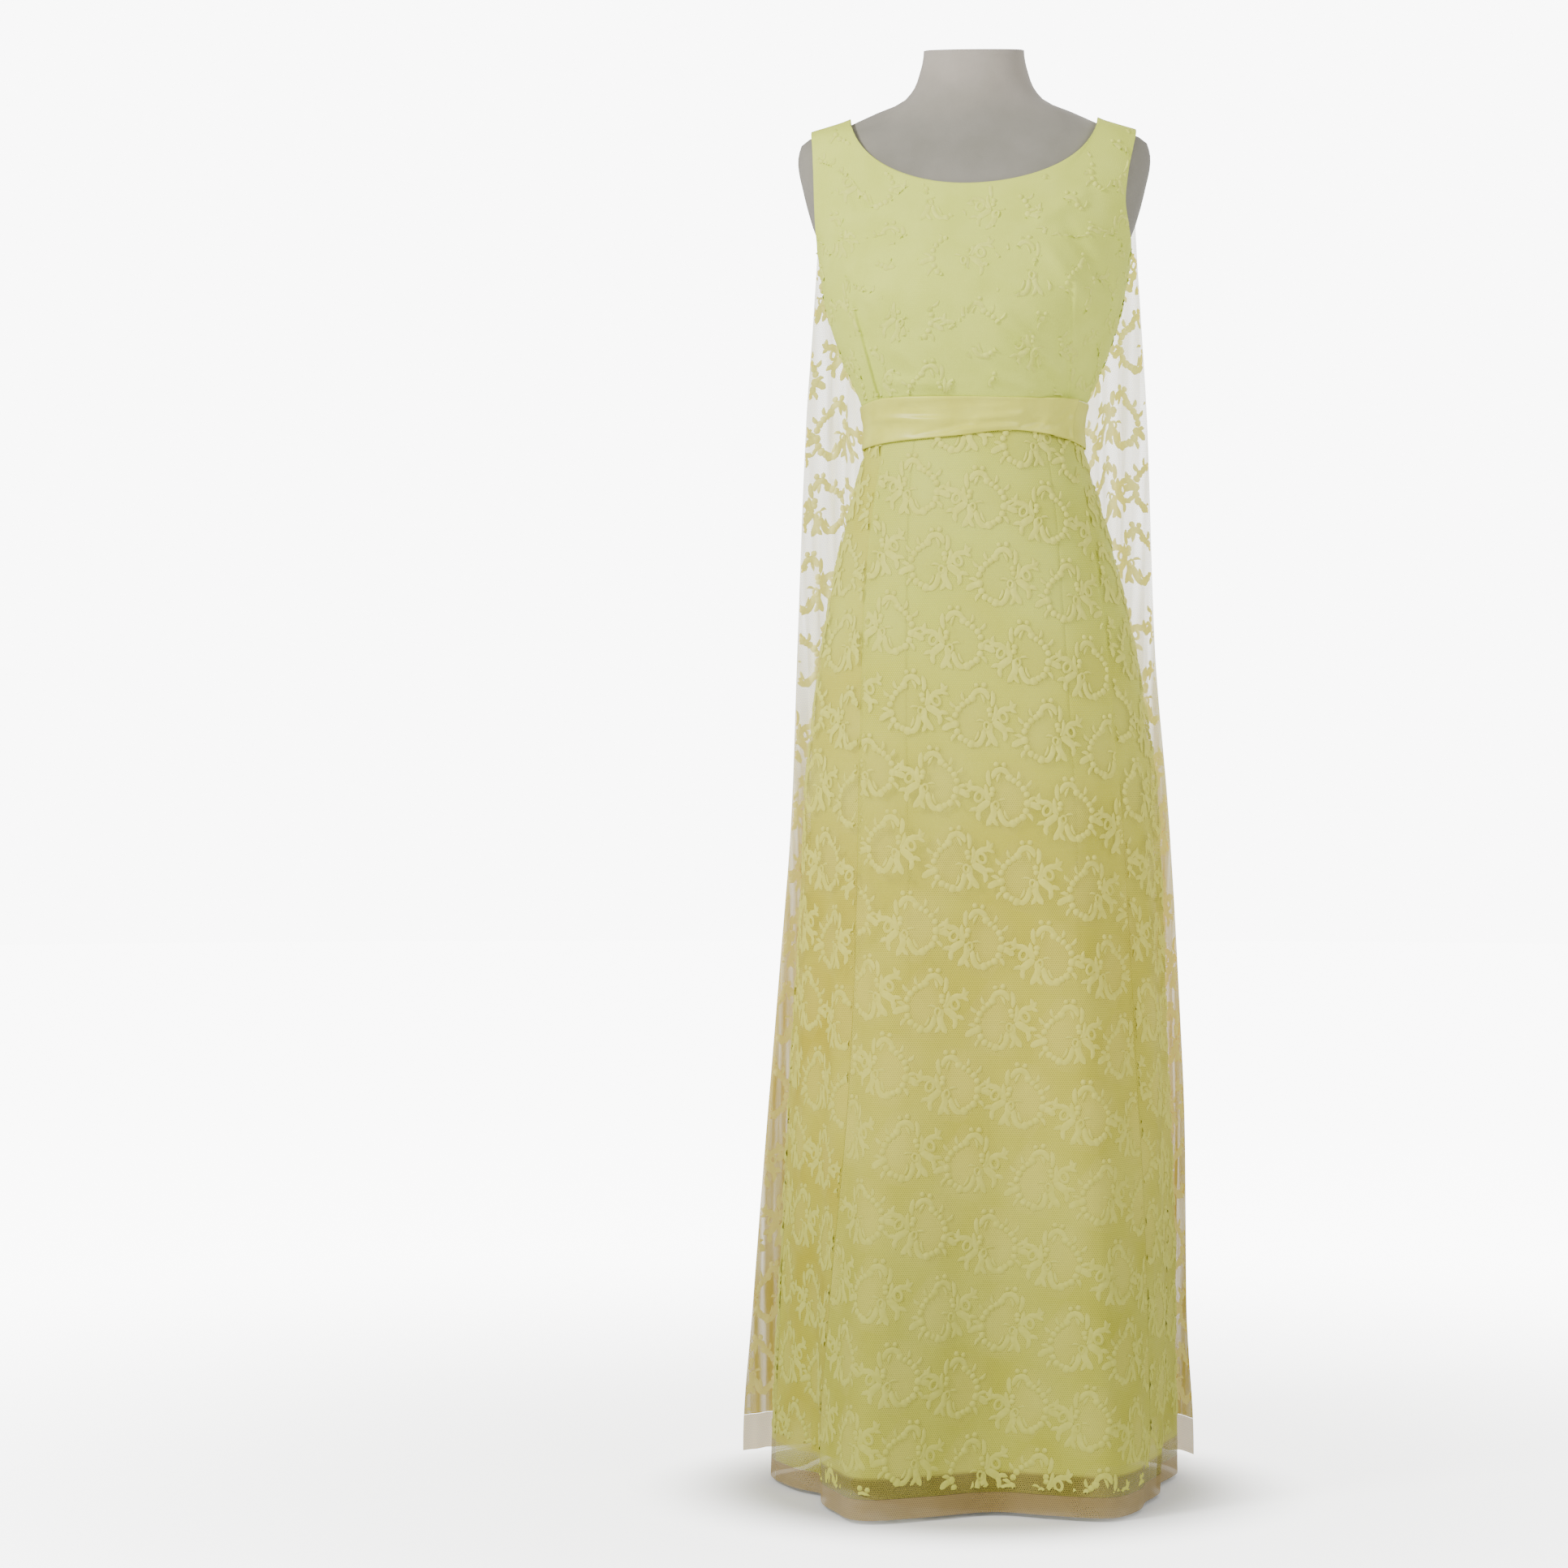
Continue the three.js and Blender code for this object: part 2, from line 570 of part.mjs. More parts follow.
/** The skirt's seams at a height, as angles in order round it from the centre back. */
function seamAngles(z) {
  const frontLeft = valueAt(FRONT_SEAMS, 'left', z);
  const frontRight = valueAt(FRONT_SEAMS, 'right', z);
  return {
    backStart: -180,
    sideLeft: -SIDE_SEAM_ANGLE,
    frontLeft,
    liningLeft: mix(frontLeft, frontRight, LINING_SEAM_SHARE),
    liningRight: mix(frontRight, frontLeft, LINING_SEAM_SHARE),
    frontRight,
    sideRight: SIDE_SEAM_ANGLE,
    backEnd: 180,
  };
}

/** Stretches between two seams of the lace or the lining, with the columns that each has. */
const STRETCHES = {
  backLeft: { from: 'backStart', to: 'sideLeft', columns: GORE_COLUMNS.back },
  sideLeft: { from: 'sideLeft', to: 'frontLeft', columns: GORE_COLUMNS.side },
  frontLeft: { from: 'frontLeft', to: 'liningLeft', columns: GORE_COLUMNS.frontEdge },
  frontMiddle: { from: 'liningLeft', to: 'liningRight', columns: GORE_COLUMNS.frontMiddle },
  frontRight: { from: 'liningRight', to: 'frontRight', columns: GORE_COLUMNS.frontEdge },
  sideRight: { from: 'frontRight', to: 'sideRight', columns: GORE_COLUMNS.side },
  backRight: { from: 'sideRight', to: 'backEnd', columns: GORE_COLUMNS.back },
};

/** Angles of the columns over one or more neighbouring stretches, parted from the next ones. */
function goreAngles(names, z) {
  const seams = seamAngles(z);
  const angles = names.flatMap((name, index) => {
    const { from, to, columns } = STRETCHES[name];
    const first = index === 0 ? 0 : 1;
    const steps = Array.from({ length: columns + 1 - first }, (_, k) => (k + first) / columns);
    return steps.map((share) => mix(seams[from], seams[to], share));
  });
  const radius = liningInner(angles[0], z);
  const half = (SEAM_GAP / 2 / radius) * (180 / Math.PI);
  angles[0] += half;
  angles[angles.length - 1] -= half;
  return angles;
}

function skirtWall(names, levels, inner, outer) {
  const grid = (radius) =>
    levels.map((z) => goreAngles(names, z).map((angle) => skirtPoint(radius(angle, z), angle, z)));
  return wall(grid(inner), grid(outer));
}

function skirt() {
  const top = WAIST_SEAM - SEAM_GAP / 2;
  const liningLevels = [top, ...LINING_LEVELS, LINING_HEM];
  const netTop = HEM_HEIGHT + NET_BAND;
  const laceLevels = [top, ...LACE_LEVELS, netTop + SEAM_GAP / 2];
  const netLevels = [netTop - SEAM_GAP / 2, HEM_HEIGHT];
  const front = ['frontLeft', 'frontMiddle', 'frontRight'];
  const lining = {
    lining_back_left: ['backLeft'],
    lining_side_left: ['sideLeft', 'frontLeft'],
    lining_front: ['frontMiddle'],
    lining_side_right: ['frontRight', 'sideRight'],
    lining_back_right: ['backRight'],
  };
  const lace = {
    lace_back_left: ['backLeft'],
    lace_side_left: ['sideLeft'],
    lace_front: front,
    lace_side_right: ['sideRight'],
    lace_back_right: ['backRight'],
  };
  const net = {
    hem_back_left: ['backLeft'],
    hem_front: ['sideLeft', ...front, 'sideRight'],
    hem_back_right: ['backRight'],
  };
  const make = (group, levels, inner, outer, material) =>
    Object.entries(group).map(([name, stretches]) =>
      piece(name, skirtWall(stretches, levels, inner, outer), material),
    );
  return [
    ...make(lining, liningLevels, liningInner, liningOuter, LINING),
    ...make(lace, laceLevels, laceInner, laceOuter, LACE),
    ...make(net, netLevels, laceInner, laceOuter, NET),
  ];
}

// ---------------------------------------------------------------- the belt and the placket

const bodiceOffset = (z) => easeAt(z) + BODICE_WALL;

/** Radius of the dress's outside near the waist, bodice above and skirt below. */
function dressRadius(angle, z) {
  if (z > WAIST_SEAM) {
    return polarRadius(figureSection(z, bodiceOffset(z)), angle);
  }
  return laceOuter(angle, z);
}

/** The belt's top or bottom edge at an angle. */
function beltEdge(edge, angle) {
  const x = dressRadius(angle, WAIST_SEAM) * Math.sin(radians(angle));
  const behind = edge === 'top' ? BELT_BACK_TOP : BELT_BACK_BOTTOM;
  const front = valueAt(BELT_EDGES, edge, x, 'x');
  return mix(front, behind, smooth(BELT_SIDE.from, BELT_SIDE.to, Math.abs(angle)));
}

/** A strip of belt between two angles; lift raises it off the dress by angle. */
function beltWall(from, to, columns, lift) {
  const angles = Array.from({ length: columns + 1 }, (_, k) => mix(from, to, k / columns));
  const grid = (thickness) =>
    BELT_ROWS.map((share) =>
      angles.map((angle) => {
        const facing = angle > 180 ? angle - 360 : angle;
        const z = mix(beltEdge('bottom', facing), beltEdge('top', facing), share);
        const crown = BELT_CROWN * 4 * share * (1 - share);
        const radius = dressRadius(facing, z) + REST_GAP + lift(angle) + crown + thickness;
        return skirtPoint(radius, angle, z);
      }),
    );
  return wall(grid(0), grid(BELT_WALL));
}

function belt() {
  const lapStart = BELT_END_ANGLE - BELT_LAP_ANGLE;
  const liftStart = lapStart - BELT_LAP_RISE.from;
  const liftEnd = lapStart - BELT_LAP_RISE.to;
  const overLap = (angle) => BELT_LAP_LIFT * smooth(liftStart, liftEnd, angle);
  const placketLift = PLACKET_WALL + REST_GAP;
  const { from, to } = BELT_OVER_PLACKET;
  const overPlacket = (angle) => placketLift * (1 - smooth(to, from, Math.abs(angle - 180)));
  const front = beltWall(-90 + BELT_SEAM, BELT_END_ANGLE, BELT_COLUMNS.front, overLap);
  const back = beltWall(lapStart, 270 - BELT_SEAM, BELT_COLUMNS.back, overPlacket);
  return [piece('belt_front', front, SATIN), piece('belt_back', back, SATIN)];
}

/** The lapped strip over the centre back, which lies on the bodice and the lace skirt. */
function placket() {
  const levels = [PLACKET_TOP, ...PLACKET_LEVELS, PLACKET_BOTTOM];
  const across = [-PLACKET_HALF_WIDTH, 0, PLACKET_HALF_WIDTH];
  const surface = (x, z) =>
    z > WAIST_SEAM ? depthAt(x, z, bodiceOffset(z), 1) : laceOuter(180 - PLACKET_TURN * x, z);
  const grid = (thickness) =>
    levels.map((z) =>
      across.map((x) => new THREE.Vector3(x, surface(x, z) + REST_GAP + thickness, z)),
    );
  return piece('back_placket', wall(grid(0), grid(PLACKET_WALL)), SATIN);
}

// ---------------------------------------------------------------- the train

/** Columns across the train, close together on each fold. */
function trainColumns() {
  const folds = TRAIN_FOLDS.flatMap(({ at, spread }) => [at - spread, at, at + spread]);
  const between = TRAIN_FOLDS.slice(1).map(({ at }, k) => (at + TRAIN_FOLDS[k].at) / 2);
  return [...TRAIN_EDGE_COLUMNS, ...folds, ...between, 1].sort((a, b) => a - b);
}

const trainX = (across, z) => across * valueAt(TRAIN, across < 0 ? 'left' : 'right', z);

/** Height of the train's top edge, which is sewn along the back neckline and the straps. */
function trainTop(across) {
  const x = trainX(across, TRAIN[TRAIN.length - 1].z);
  const offset = bodiceOffset(NECK_CORNER);
  if (Math.abs(x) < NECK_HALF_WIDTH) {
    const turn = Math.asin(Math.abs(x) / NECK_HALF_WIDTH) * (180 / Math.PI);
    return neckPoint(turn, 1, offset, 1).z - TRAIN_SEAM;
  }
  return ridgeHeight(x, offset) - TRAIN_SEAM;
}

/** A point of the train's inner face, a given way down from its top edge. */
function trainPoint(across, z, top) {
  const x = trainX(across, z);
  const released = smooth(0, TRAIN_RELEASE, top - z);
  const overPlacket = (PLACKET_WALL + REST_GAP) * Math.exp(-((x / TRAIN_OVER_PLACKET) ** 2));
  const clear = mix(TRAIN_SEAT, TRAIN_CLEAR, smooth(0, TRAIN_CLEAR_DEPTH, top - z));
  const onBack = depthAt(x, z, bodiceOffset(z), 1) + overPlacket + clear;
  const round = 1 - Math.abs(across) ** TRAIN_FULLNESS;
  const hanging = mix(valueAt(TRAIN, 'edge', z), valueAt(TRAIN, 'middle', z), round);
  const fold = TRAIN_FOLDS.reduce(
    (sum, { at, depth, spread }) => sum + depth * Math.exp(-(((across - at) / spread) ** 2)),
    0,
  );
  const depth = valueAt(TRAIN, 'fold', z) * mix(TRAIN_FOLD_START, 1, released);
  return new THREE.Vector3(x, mix(onBack, hanging, released) + fold * depth, z);
}

/** Level normal of the train at a point, pointing back. */
function trainNormal(across, z, top) {
  const before = trainPoint(across - TRAIN_NORMAL_STEP, z, top);
  const along = trainPoint(across + TRAIN_NORMAL_STEP, z, top).sub(before);
  return new THREE.Vector3(-along.y, along.x, 0).normalize();
}

function trainWall(levelsOf) {
  const columns = trainColumns();
  const levels = columns.map(levelsOf);
  const grid = (thickness) =>
    levels[0].map((_, row) =>
      columns.map((across, column) => {
        const z = levels[column][row];
        const top = trainTop(across);
        const normal = trainNormal(across, z, top);
        return trainPoint(across, z, top).addScaledVector(normal, thickness);
      }),
    );
  return wall(grid(0), grid(TRAIN_WALL));
}

function train() {
  const hemTop = HEM_HEIGHT + TRAIN_HEM_BAND;
  const panelLevels = (across) => {
    const top = trainTop(across);
    const upper = TRAIN_TOP_ROWS.map((share) => mix(top, TRAIN_LEVELS[0], share));
    return [...upper, ...TRAIN_LEVELS, hemTop + SEAM_GAP / 2];
  };
  return [
    piece('train_panel', trainWall(panelLevels), NET),
    piece('train_hem', trainWall(() => [hemTop - SEAM_GAP / 2, HEM_HEIGHT]), NET),
  ];
}

// ---------------------------------------------------------------- the whole

const dress = new THREE.Group();
dress.add(...dressForm(), ...bodice(), ...skirt(), ...belt(), placket(), ...train());

export default dress;
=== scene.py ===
"""Looks of a sleeveless lace evening dress with a sheer back train, on a limbless dress form.

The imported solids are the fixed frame. Every piece of cloth is made here as a thin, fine sheet on
the form of its solid, and the lace carries its embroidered wreaths as low relief. Sizes are in
millimetres until a mesh is made. The front faces -Y, and left and right are as seen from there.
"""

import logging
import math
from abc import ABC, abstractmethod
from collections.abc import Callable, Sequence
from dataclasses import dataclass, field, replace
from enum import Enum
from typing import ClassVar

import bpy
import numpy as np
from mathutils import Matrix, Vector


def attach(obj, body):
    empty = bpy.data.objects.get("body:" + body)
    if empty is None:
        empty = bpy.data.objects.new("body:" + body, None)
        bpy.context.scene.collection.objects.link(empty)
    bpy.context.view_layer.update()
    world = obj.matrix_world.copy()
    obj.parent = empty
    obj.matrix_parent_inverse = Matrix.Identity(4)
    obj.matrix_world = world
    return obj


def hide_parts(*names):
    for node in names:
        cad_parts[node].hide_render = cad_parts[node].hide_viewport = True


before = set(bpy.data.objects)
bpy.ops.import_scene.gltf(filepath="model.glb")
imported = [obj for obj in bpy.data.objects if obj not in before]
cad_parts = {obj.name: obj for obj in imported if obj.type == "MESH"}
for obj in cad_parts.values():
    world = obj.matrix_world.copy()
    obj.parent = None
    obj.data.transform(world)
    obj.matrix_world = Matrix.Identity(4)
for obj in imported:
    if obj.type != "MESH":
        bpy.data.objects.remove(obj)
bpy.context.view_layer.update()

LOG = logging.getLogger("dress")
BODY = "root"
MM = 0.001

Array = np.ndarray
Grid = np.ndarray  # rows by columns by 3, in millimetres
Table = dict[str, Array]
Mesh = tuple[Array, Array]  # points (x right, y up, height) and triangles
Tree = bpy.types.NodeTree
Socket = bpy.types.NodeSocket
Object = bpy.types.Object


# ---------------------------------------------------------------- numbers


def table(columns: str, *rows: tuple[float, ...]) -> Table:
    """A small table of numbers.

    Args:
        columns: the columns' names, parted by spaces.
        rows: one tuple for each row, in the columns' order.

    Returns:
        Each column by its name.
    """
    names = columns.split()
    return {name: np.array([row[k] for row in rows], float) for k, name in enumerate(names)}


def curve(values: Table, column: str, at: Array, key: str = "z") -> Array:
    """A table's column on a smooth curve through its rows that doesn't overshoot them.

    Args:
        values: the table, in rising order of its key.
        column: the column that is read.
        at: where it is read, in the key's units.
        key: the column that the curve runs along.

    Returns:
        The column's values there.
    """
    keys, heights = values[key], values[column]
    steps = np.diff(keys)
    slopes = np.diff(heights) / steps
    before, after = slopes[:-1], slopes[1:]
    same = before * after > 0
    total = np.where(same, before + after, 1.0)
    inner = np.where(same, 2 * before * after / total, 0.0)
    ends = np.concatenate([[0.0], inner, [0.0]])
    at = np.clip(np.asarray(at, float), keys[0], keys[-1])
    k = np.clip(np.searchsorted(keys, at, side="right") - 1, 0, len(keys) - 2)
    s = (at - keys[k]) / steps[k]
    rise, fall = ends[k] * steps[k], ends[k + 1] * steps[k]
    start = (1 + 2 * s) * (1 - s) ** 2 * heights[k] + s * (1 - s) ** 2 * rise
    return start + s * s * (3 - 2 * s) * heights[k + 1] + s * s * (s - 1) * fall


def smooth(start: float, end: float, value: Array) -> Array:
    """A soft step from 0 at start to 1 at end."""
    share = np.clip((np.asarray(value, float) - start) / (end - start), 0, 1)
    return share * share * (3 - 2 * share)


def mix(low: Array, high: Array, share: Array) -> Array:
    """What lies a share of the way from low to high."""
    return low + (high - low) * share


def bump(value: Array, middle: float, spread: float) -> Array:
    """A soft hill of height 1 about the middle."""
    return np.exp(-(((value - middle) / spread) ** 2))


def soft_line(x: Array, z: Array, ends: Sequence[float], width: float) -> Array:
    """A soft hill along a line, which fades towards its ends.

    Args:
        x: distance to the right.
        z: height.
        ends: the line's first x and z and its last x and z.
        width: the hill's half width.

    Returns:
        Its height, up to 1.
    """
    x0, z0, x1, z1 = ends
    dx, dz = x1 - x0, z1 - z0
    size = math.hypot(dx, dz)
    share = ((x - x0) * dx + (z - z0) * dz) / size**2
    apart = ((x - x0) * dz - (z - z0) * dx) / size
    fade = smooth(-0.12, 0.2, share) * smooth(1.12, 0.85, share)
    return np.exp(-((apart / width) ** 2)) * fade


def joined(x: Array, y: Array, z: Array) -> Grid:
    """A grid of points from its three coordinates."""
    return np.stack(np.broadcast_arrays(x, y, z), axis=-1).astype(float)


# ---------------------------------------------------------------- the dress's sizes

SEAM_GAP = 0.3
REST_GAP = 0.9
WAIST_SEAM = 1077.0
UNDERARM = 1257.0
HEM_HEIGHT = 4.0
LINING_HEM = 42.0
NET_BAND = 20.0
TRAIN_HEM_BAND = 38.0
BODICE_WALL = 2.4
LINING_WALL = 1.0
LACE_WALL = 1.1
LACE_WALL_FLARE = 0.9
BELT_WALL = 1.8
PLACKET_WALL = 1.2
TRAIN_WALL = 1.4
ROLLED_EDGE = 0.45  # the share of a sheet's wall that is left at its turned edges

# The form's level sections: half width, depth before and behind, superellipse power.
FIGURE = table(
    "z side front back power",
    (760, 148, 104, 116, 2.2), (810, 151, 108, 123, 2.2), (870, 145, 107, 121, 2.2),
    (950, 124, 98, 101, 2.2), (1010, 109, 88, 84, 2.2), (1050, 103, 83, 76, 2.2),
    (1077, 104, 83, 75, 2.2), (1100, 110, 91, 77, 2.25), (1150, 131, 114, 81, 2.3),
    (1198, 146, 124, 86, 2.35), (1228, 151, 119, 90, 2.35), (1257, 155, 109, 93, 2.35),
    (1282, 164, 97, 95, 2.25), (1315, 173, 82, 90, 2.1), (1348, 179, 67, 79, 1.9),
    (1366, 175, 60, 70, 1.72), (1373, 163, 57, 67, 1.65), (1378, 147, 55, 65, 1.62),
    (1384, 128, 53, 63, 1.62), (1395, 104, 51, 60, 1.75), (1403, 82, 50, 57, 1.9),
    (1411, 69, 49, 54, 2), (1428, 58, 47, 51, 2), (1461, 51, 44, 48, 2),
)

# How far from the middle the armholes' edges lie.
ARMHOLE = table(
    "z left right",
    (1257, 159, 159), (1275, 160, 155.5), (1300, 161, 152), (1330, 162, 155), (1360, 163.5, 161),
    (1376, 165, 164),
)

# The lining's level sections, their lean to the right, and how far the lace stands off.
SKIRT = table(
    "z side front back power lean stand",
    (10, 164, 150, 167, 2.55, 12, 38), (42, 165, 150, 166, 2.55, 12, 37),
    (250, 169, 146, 160, 2.5, 12, 28), (500, 172, 138, 150, 2.4, 10, 15),
    (700, 172, 129, 141, 2.35, 7, 4.5), (780, 166, 124, 136, 2.3, 5, 1),
    (850, 157, 118, 130, 2.3, 4, 0), (950, 137, 108, 110, 2.25, 2, 0),
    (1000, 124, 101, 98, 2.2, 1, 0), (1054, 109, 90, 84, 2.2, 0, 0),
    (1077, 105.6, 84.6, 76.6, 2.2, 0, 0),
)

# The lace's flutes at the hem, by their angle from the front in degrees.
FLUTES = table(
    "angle out spread",
    (-31, 38, 10.5), (4, -36, 17), (33, 17, 9), (-67, -32, 13), (-104, 22, 11), (62, -25, 14),
    (88, -31, 18), (118, 8, 12), (139, -14, 10), (164, 22, 12), (-170, -14, 10), (-144, 26, 13),
    (-114, -8, 10),
)

# The angles of the front gore's seams, degrees.
FRONT_SEAMS = table(
    "z left right",
    (10, -57, 61), (200, -50, 57), (450, -46, 55), (700, -48, 56), (900, -52, 59), (1077, -58, 66),
)
SIDE_SEAM_ANGLE = 93.0

# The train's half widths, its depth behind at its edges and middle, and its folds' depth.
TRAIN = table(
    "z left right edge middle fold",
    (10, 246, 233, 186, 262, 20), (164, 235, 225, 178, 246, 19), (339, 221, 223, 168, 228, 18),
    (513, 206, 215, 154, 208, 17), (686, 192, 204, 138, 184, 15), (857, 185, 189, 118, 158, 13),
    (1094, 174, 179, 82, 122, 10), (1200, 166, 172, 70, 114, 9), (1290, 161, 166, 55, 110, 7),
    (1380, 163, 163, 26, 82, 3),
)

# The train's folds, placed and spread as shares of its half width.
TRAIN_FOLDS = table(
    "at depth spread",
    (-0.62, 0.55, 0.06), (-0.47, 0.9, 0.05), (-0.34, 0.75, 0.045), (-0.2, 1.1, 0.05),
    (-0.07, 0.8, 0.045), (0.06, 1, 0.05), (0.19, 0.85, 0.045), (0.32, 1.15, 0.05),
    (0.45, 0.8, 0.045), (0.58, 1.05, 0.05), (0.71, 0.9, 0.045), (0.83, 1.1, 0.042),
    (0.94, 0.7, 0.035),
)

# Drag folds, each from one end to the other: its half width and how high it rises.
BODICE_FOLDS = table(
    "x0 z0 x1 z1 width height",
    (17, 1186, 90, 1121, 8, 1.9), (30, 1160, 84, 1108, 5, -1.3), (58, 1271, 114, 1304, 8, 1.4),
    (90, 1271, 139, 1206, 7, -1.3), (70, 1248, 122, 1180, 8, 1.2), (-137, 1332, -121, 1283, 6, 1.1),
    (-128, 1300, -60, 1262, 10, -0.9), (-92, 1117, -23, 1109, 5, 1.5),
    (-84, 1150, -40, 1112, 7, 1.2), (12, 1122, 70, 1102, 4, 1.4), (-60, 1240, 10, 1206, 14, 0.9),
    (-132, 1236, -104, 1190, 5, 1.0),
)

# The same for the back.
BACK_FOLDS = table(
    "x0 z0 x1 z1 width height",
    (-62, 1225, -55, 1098, 1.5, -1.2), (62, 1225, 55, 1098, 1.5, -1.2),
    (-96, 1160, -40, 1112, 8, 1.2), (100, 1170, 44, 1116, 8, 1.1), (-120, 1260, -60, 1200, 10, 0.9),
    (118, 1250, 64, 1214, 10, -0.9),
)

# The same for the belt.
BELT_FOLDS = table(
    "x0 z0 x1 z1 width height",
    (-72, 1091, 33, 1096, 3, -2.4), (-97, 1081, -24, 1076, 4.5, 3.2),
    (-60, 1060, -3, 1074, 3, -2.6), (-3, 1077, 49, 1083, 4, 3.0), (44, 1069, 66, 1078, 3, -2.2),
    (66, 1067, 92, 1089, 3.5, -2.4), (-104, 1062, -80, 1072, 3, -2.0),
    (-20, 1066, 40, 1071, 3, 1.8),
)

# Long folds down the lace, by angle, with the heights between which they run.
LACE_FOLDS = table(
    "angle spread depth top foot",
    (-52, 4, 1.8, 1040, 420), (-44, 4, -1.1, 980, 300), (-62, 5, -1.6, 1000, 260),
    (-74, 5, 2.2, 960, 200), (-16, 6, 0.9, 760, 120), (14, 6, -0.9, 700, 140),
    (34, 5, 1.0, 720, 200), (52, 4, -1.3, 1030, 380), (64, 4, 1.8, 1000, 300),
    (76, 5, -1.8, 940, 240), (86, 4, 1.8, 900, 160), (108, 6, 1.8, 1000, 200),
    (126, 6, -1.6, 960, 160), (148, 7, 1.8, 1000, 140), (168, 6, -1.4, 940, 120),
    (-106, 6, -1.6, 980, 200), (-124, 6, 1.9, 1000, 160), (-146, 7, -1.6, 960, 140),
    (-166, 6, 1.6, 940, 120),
)

# The heights of the belt's edges across its front.
BELT_EDGES = table(
    "x top bottom",
    (-112, 1097, 1054), (-80, 1101, 1057), (-20, 1100, 1061), (38, 1099, 1067), (90, 1100, 1060),
    (112, 1099, 1054),
)


def fold_heights(folds: Table, x: Array, z: Array) -> Array:
    """How far a table's folds raise or sink the cloth at a place."""
    return sum(
        height * soft_line(x, z, ends, width) for *ends, width, height in zip(*folds.values())
    )


# ---------------------------------------------------------------- the figure and the skirt's form


class Side(Enum):
    """Which half of a piece, as seen from the front."""

    LEFT = -1
    RIGHT = 1


class Facing(Enum):
    """Which way a piece of the bodice faces."""

    FRONT = -1
    BACK = 1


@dataclass(frozen=True)
class Figure:
    """The dress form's own shape, which the bodice follows at a small ease."""

    body_ease: float = 2.1
    shoulder_ease: float = 2.3
    shoulder_top: float = 1461.0
    shoulder_widest: float = 1348.0

    def ease(self, z: Array) -> Array:
        """Gap between the form and the cloth at a height."""
        return mix(self.body_ease, self.shoulder_ease, smooth(1280, 1350, z))

    def section(self, z: Array, offset: Array) -> tuple[Array, ...]:
        """The level section at a height.

        Args:
            z: the height.
            offset: how far the section is grown, all round and over the shoulders.

        Returns:
            Half width, depth in front, depth behind, and the superellipse's power.
        """
        level = z - offset * smooth(1330, 1370, z)
        side, front, back = (
            curve(FIGURE, name, level) + offset for name in ("side", "front", "back")
        )
        return side, front, back, curve(FIGURE, "power", level)

    def depth(self, x: Array, z: Array, offset: Array, facing: Facing) -> Array:
        """How far the grown surface lies from the side seams' plane, signed as Y is."""
        side, front, back, power = self.section(z, offset)
        share = np.minimum(1, np.abs(x) / side)
        full = front if facing is Facing.FRONT else back
        depth = full * np.maximum(0, 1 - share**power) ** (1 / power)
        return facing.value * np.maximum(SEAM_GAP / 2, depth)

    def ridge(self, x: Array, offset: float) -> Array:
        """Height of the shoulder's ridge at a distance from the middle."""
        x = np.abs(np.asarray(x, float))
        low = np.full(x.shape, self.shoulder_widest)
        high = np.full(x.shape, self.shoulder_top)
        for _ in range(40):
            middle = (low + high) / 2
            wide = self.section(middle, offset)[0] > x
            low, high = np.where(wide, middle, low), np.where(wide, high, middle)
        return low

    def radius(self, angle: Array, z: Array, offset: Array) -> Array:
        """Distance from the axis at an angle from the front, degrees."""
        return polar_radius(*self.section(z, offset), angle)


def polar_radius(
    side: Array, front: Array, back: Array, power: Array, angle: Array
) -> Array:
    """Radius of a superellipse at an angle from the front, degrees."""
    turn = np.radians(angle)
    depth = np.where(np.cos(turn) > 0, front, back)
    total = (np.abs(np.sin(turn)) / side) ** power + (np.abs(np.cos(turn)) / depth) ** power
    return total ** (-1 / power)


@dataclass(frozen=True)
class SkirtForm:
    """The skirt's level sections: the lining's, and the lace's with its flutes."""

    flute_top: float = 840.0
    flute_growth: float = 1.45

    def lining_inner(self, angle: Array, z: Array) -> Array:
        """Radius of the lining's inner face."""
        section = (curve(SKIRT, name, z) for name in ("side", "front", "back", "power"))
        return polar_radius(*section, angle)

    def flute_share(self, z: Array) -> Array:
        """How far the flutes are grown at a height: 0 at their top and 1 at the hem."""
        share = np.clip((self.flute_top - z) / (self.flute_top - HEM_HEIGHT), 0, 1)
        return share**self.flute_growth

    def lace_inner(self, angle: Array, z: Array) -> Array:
        """Radius of the lace's inner face."""
        apart = (angle[..., None] - FLUTES["angle"] + 540) % 360 - 180
        flutes = np.sum(FLUTES["out"] * np.exp(-((apart / FLUTES["spread"]) ** 2)), axis=-1)
        stand = curve(SKIRT, "stand", z) + self.flute_share(z) * flutes
        return self.lining_inner(angle, z) + LINING_WALL + SEAM_GAP + stand

    def lace_wall(self, z: Array) -> Array:
        """Thickness of the lace's solid at a height."""
        return LACE_WALL + LACE_WALL_FLARE * self.flute_share(z)

    def point(self, radius: Array, angle: Array, z: Array) -> Grid:
        """Points at a radius from the skirt's leaning middle."""
        turn = np.radians(angle)
        return joined(curve(SKIRT, "lean", z) + radius * np.sin(turn), -radius * np.cos(turn), z)


FORM = Figure()
SKIRT_FORM = SkirtForm()


# ---------------------------------------------------------------- cloth as grids of points


def run_lengths(points: Grid) -> Array:
    """How far along the cloth each point lies from the first of its row."""
    steps = np.linalg.norm(np.diff(points, axis=1), axis=2)
    return np.concatenate([np.zeros((len(steps), 1)), np.cumsum(steps, axis=1)], axis=1)


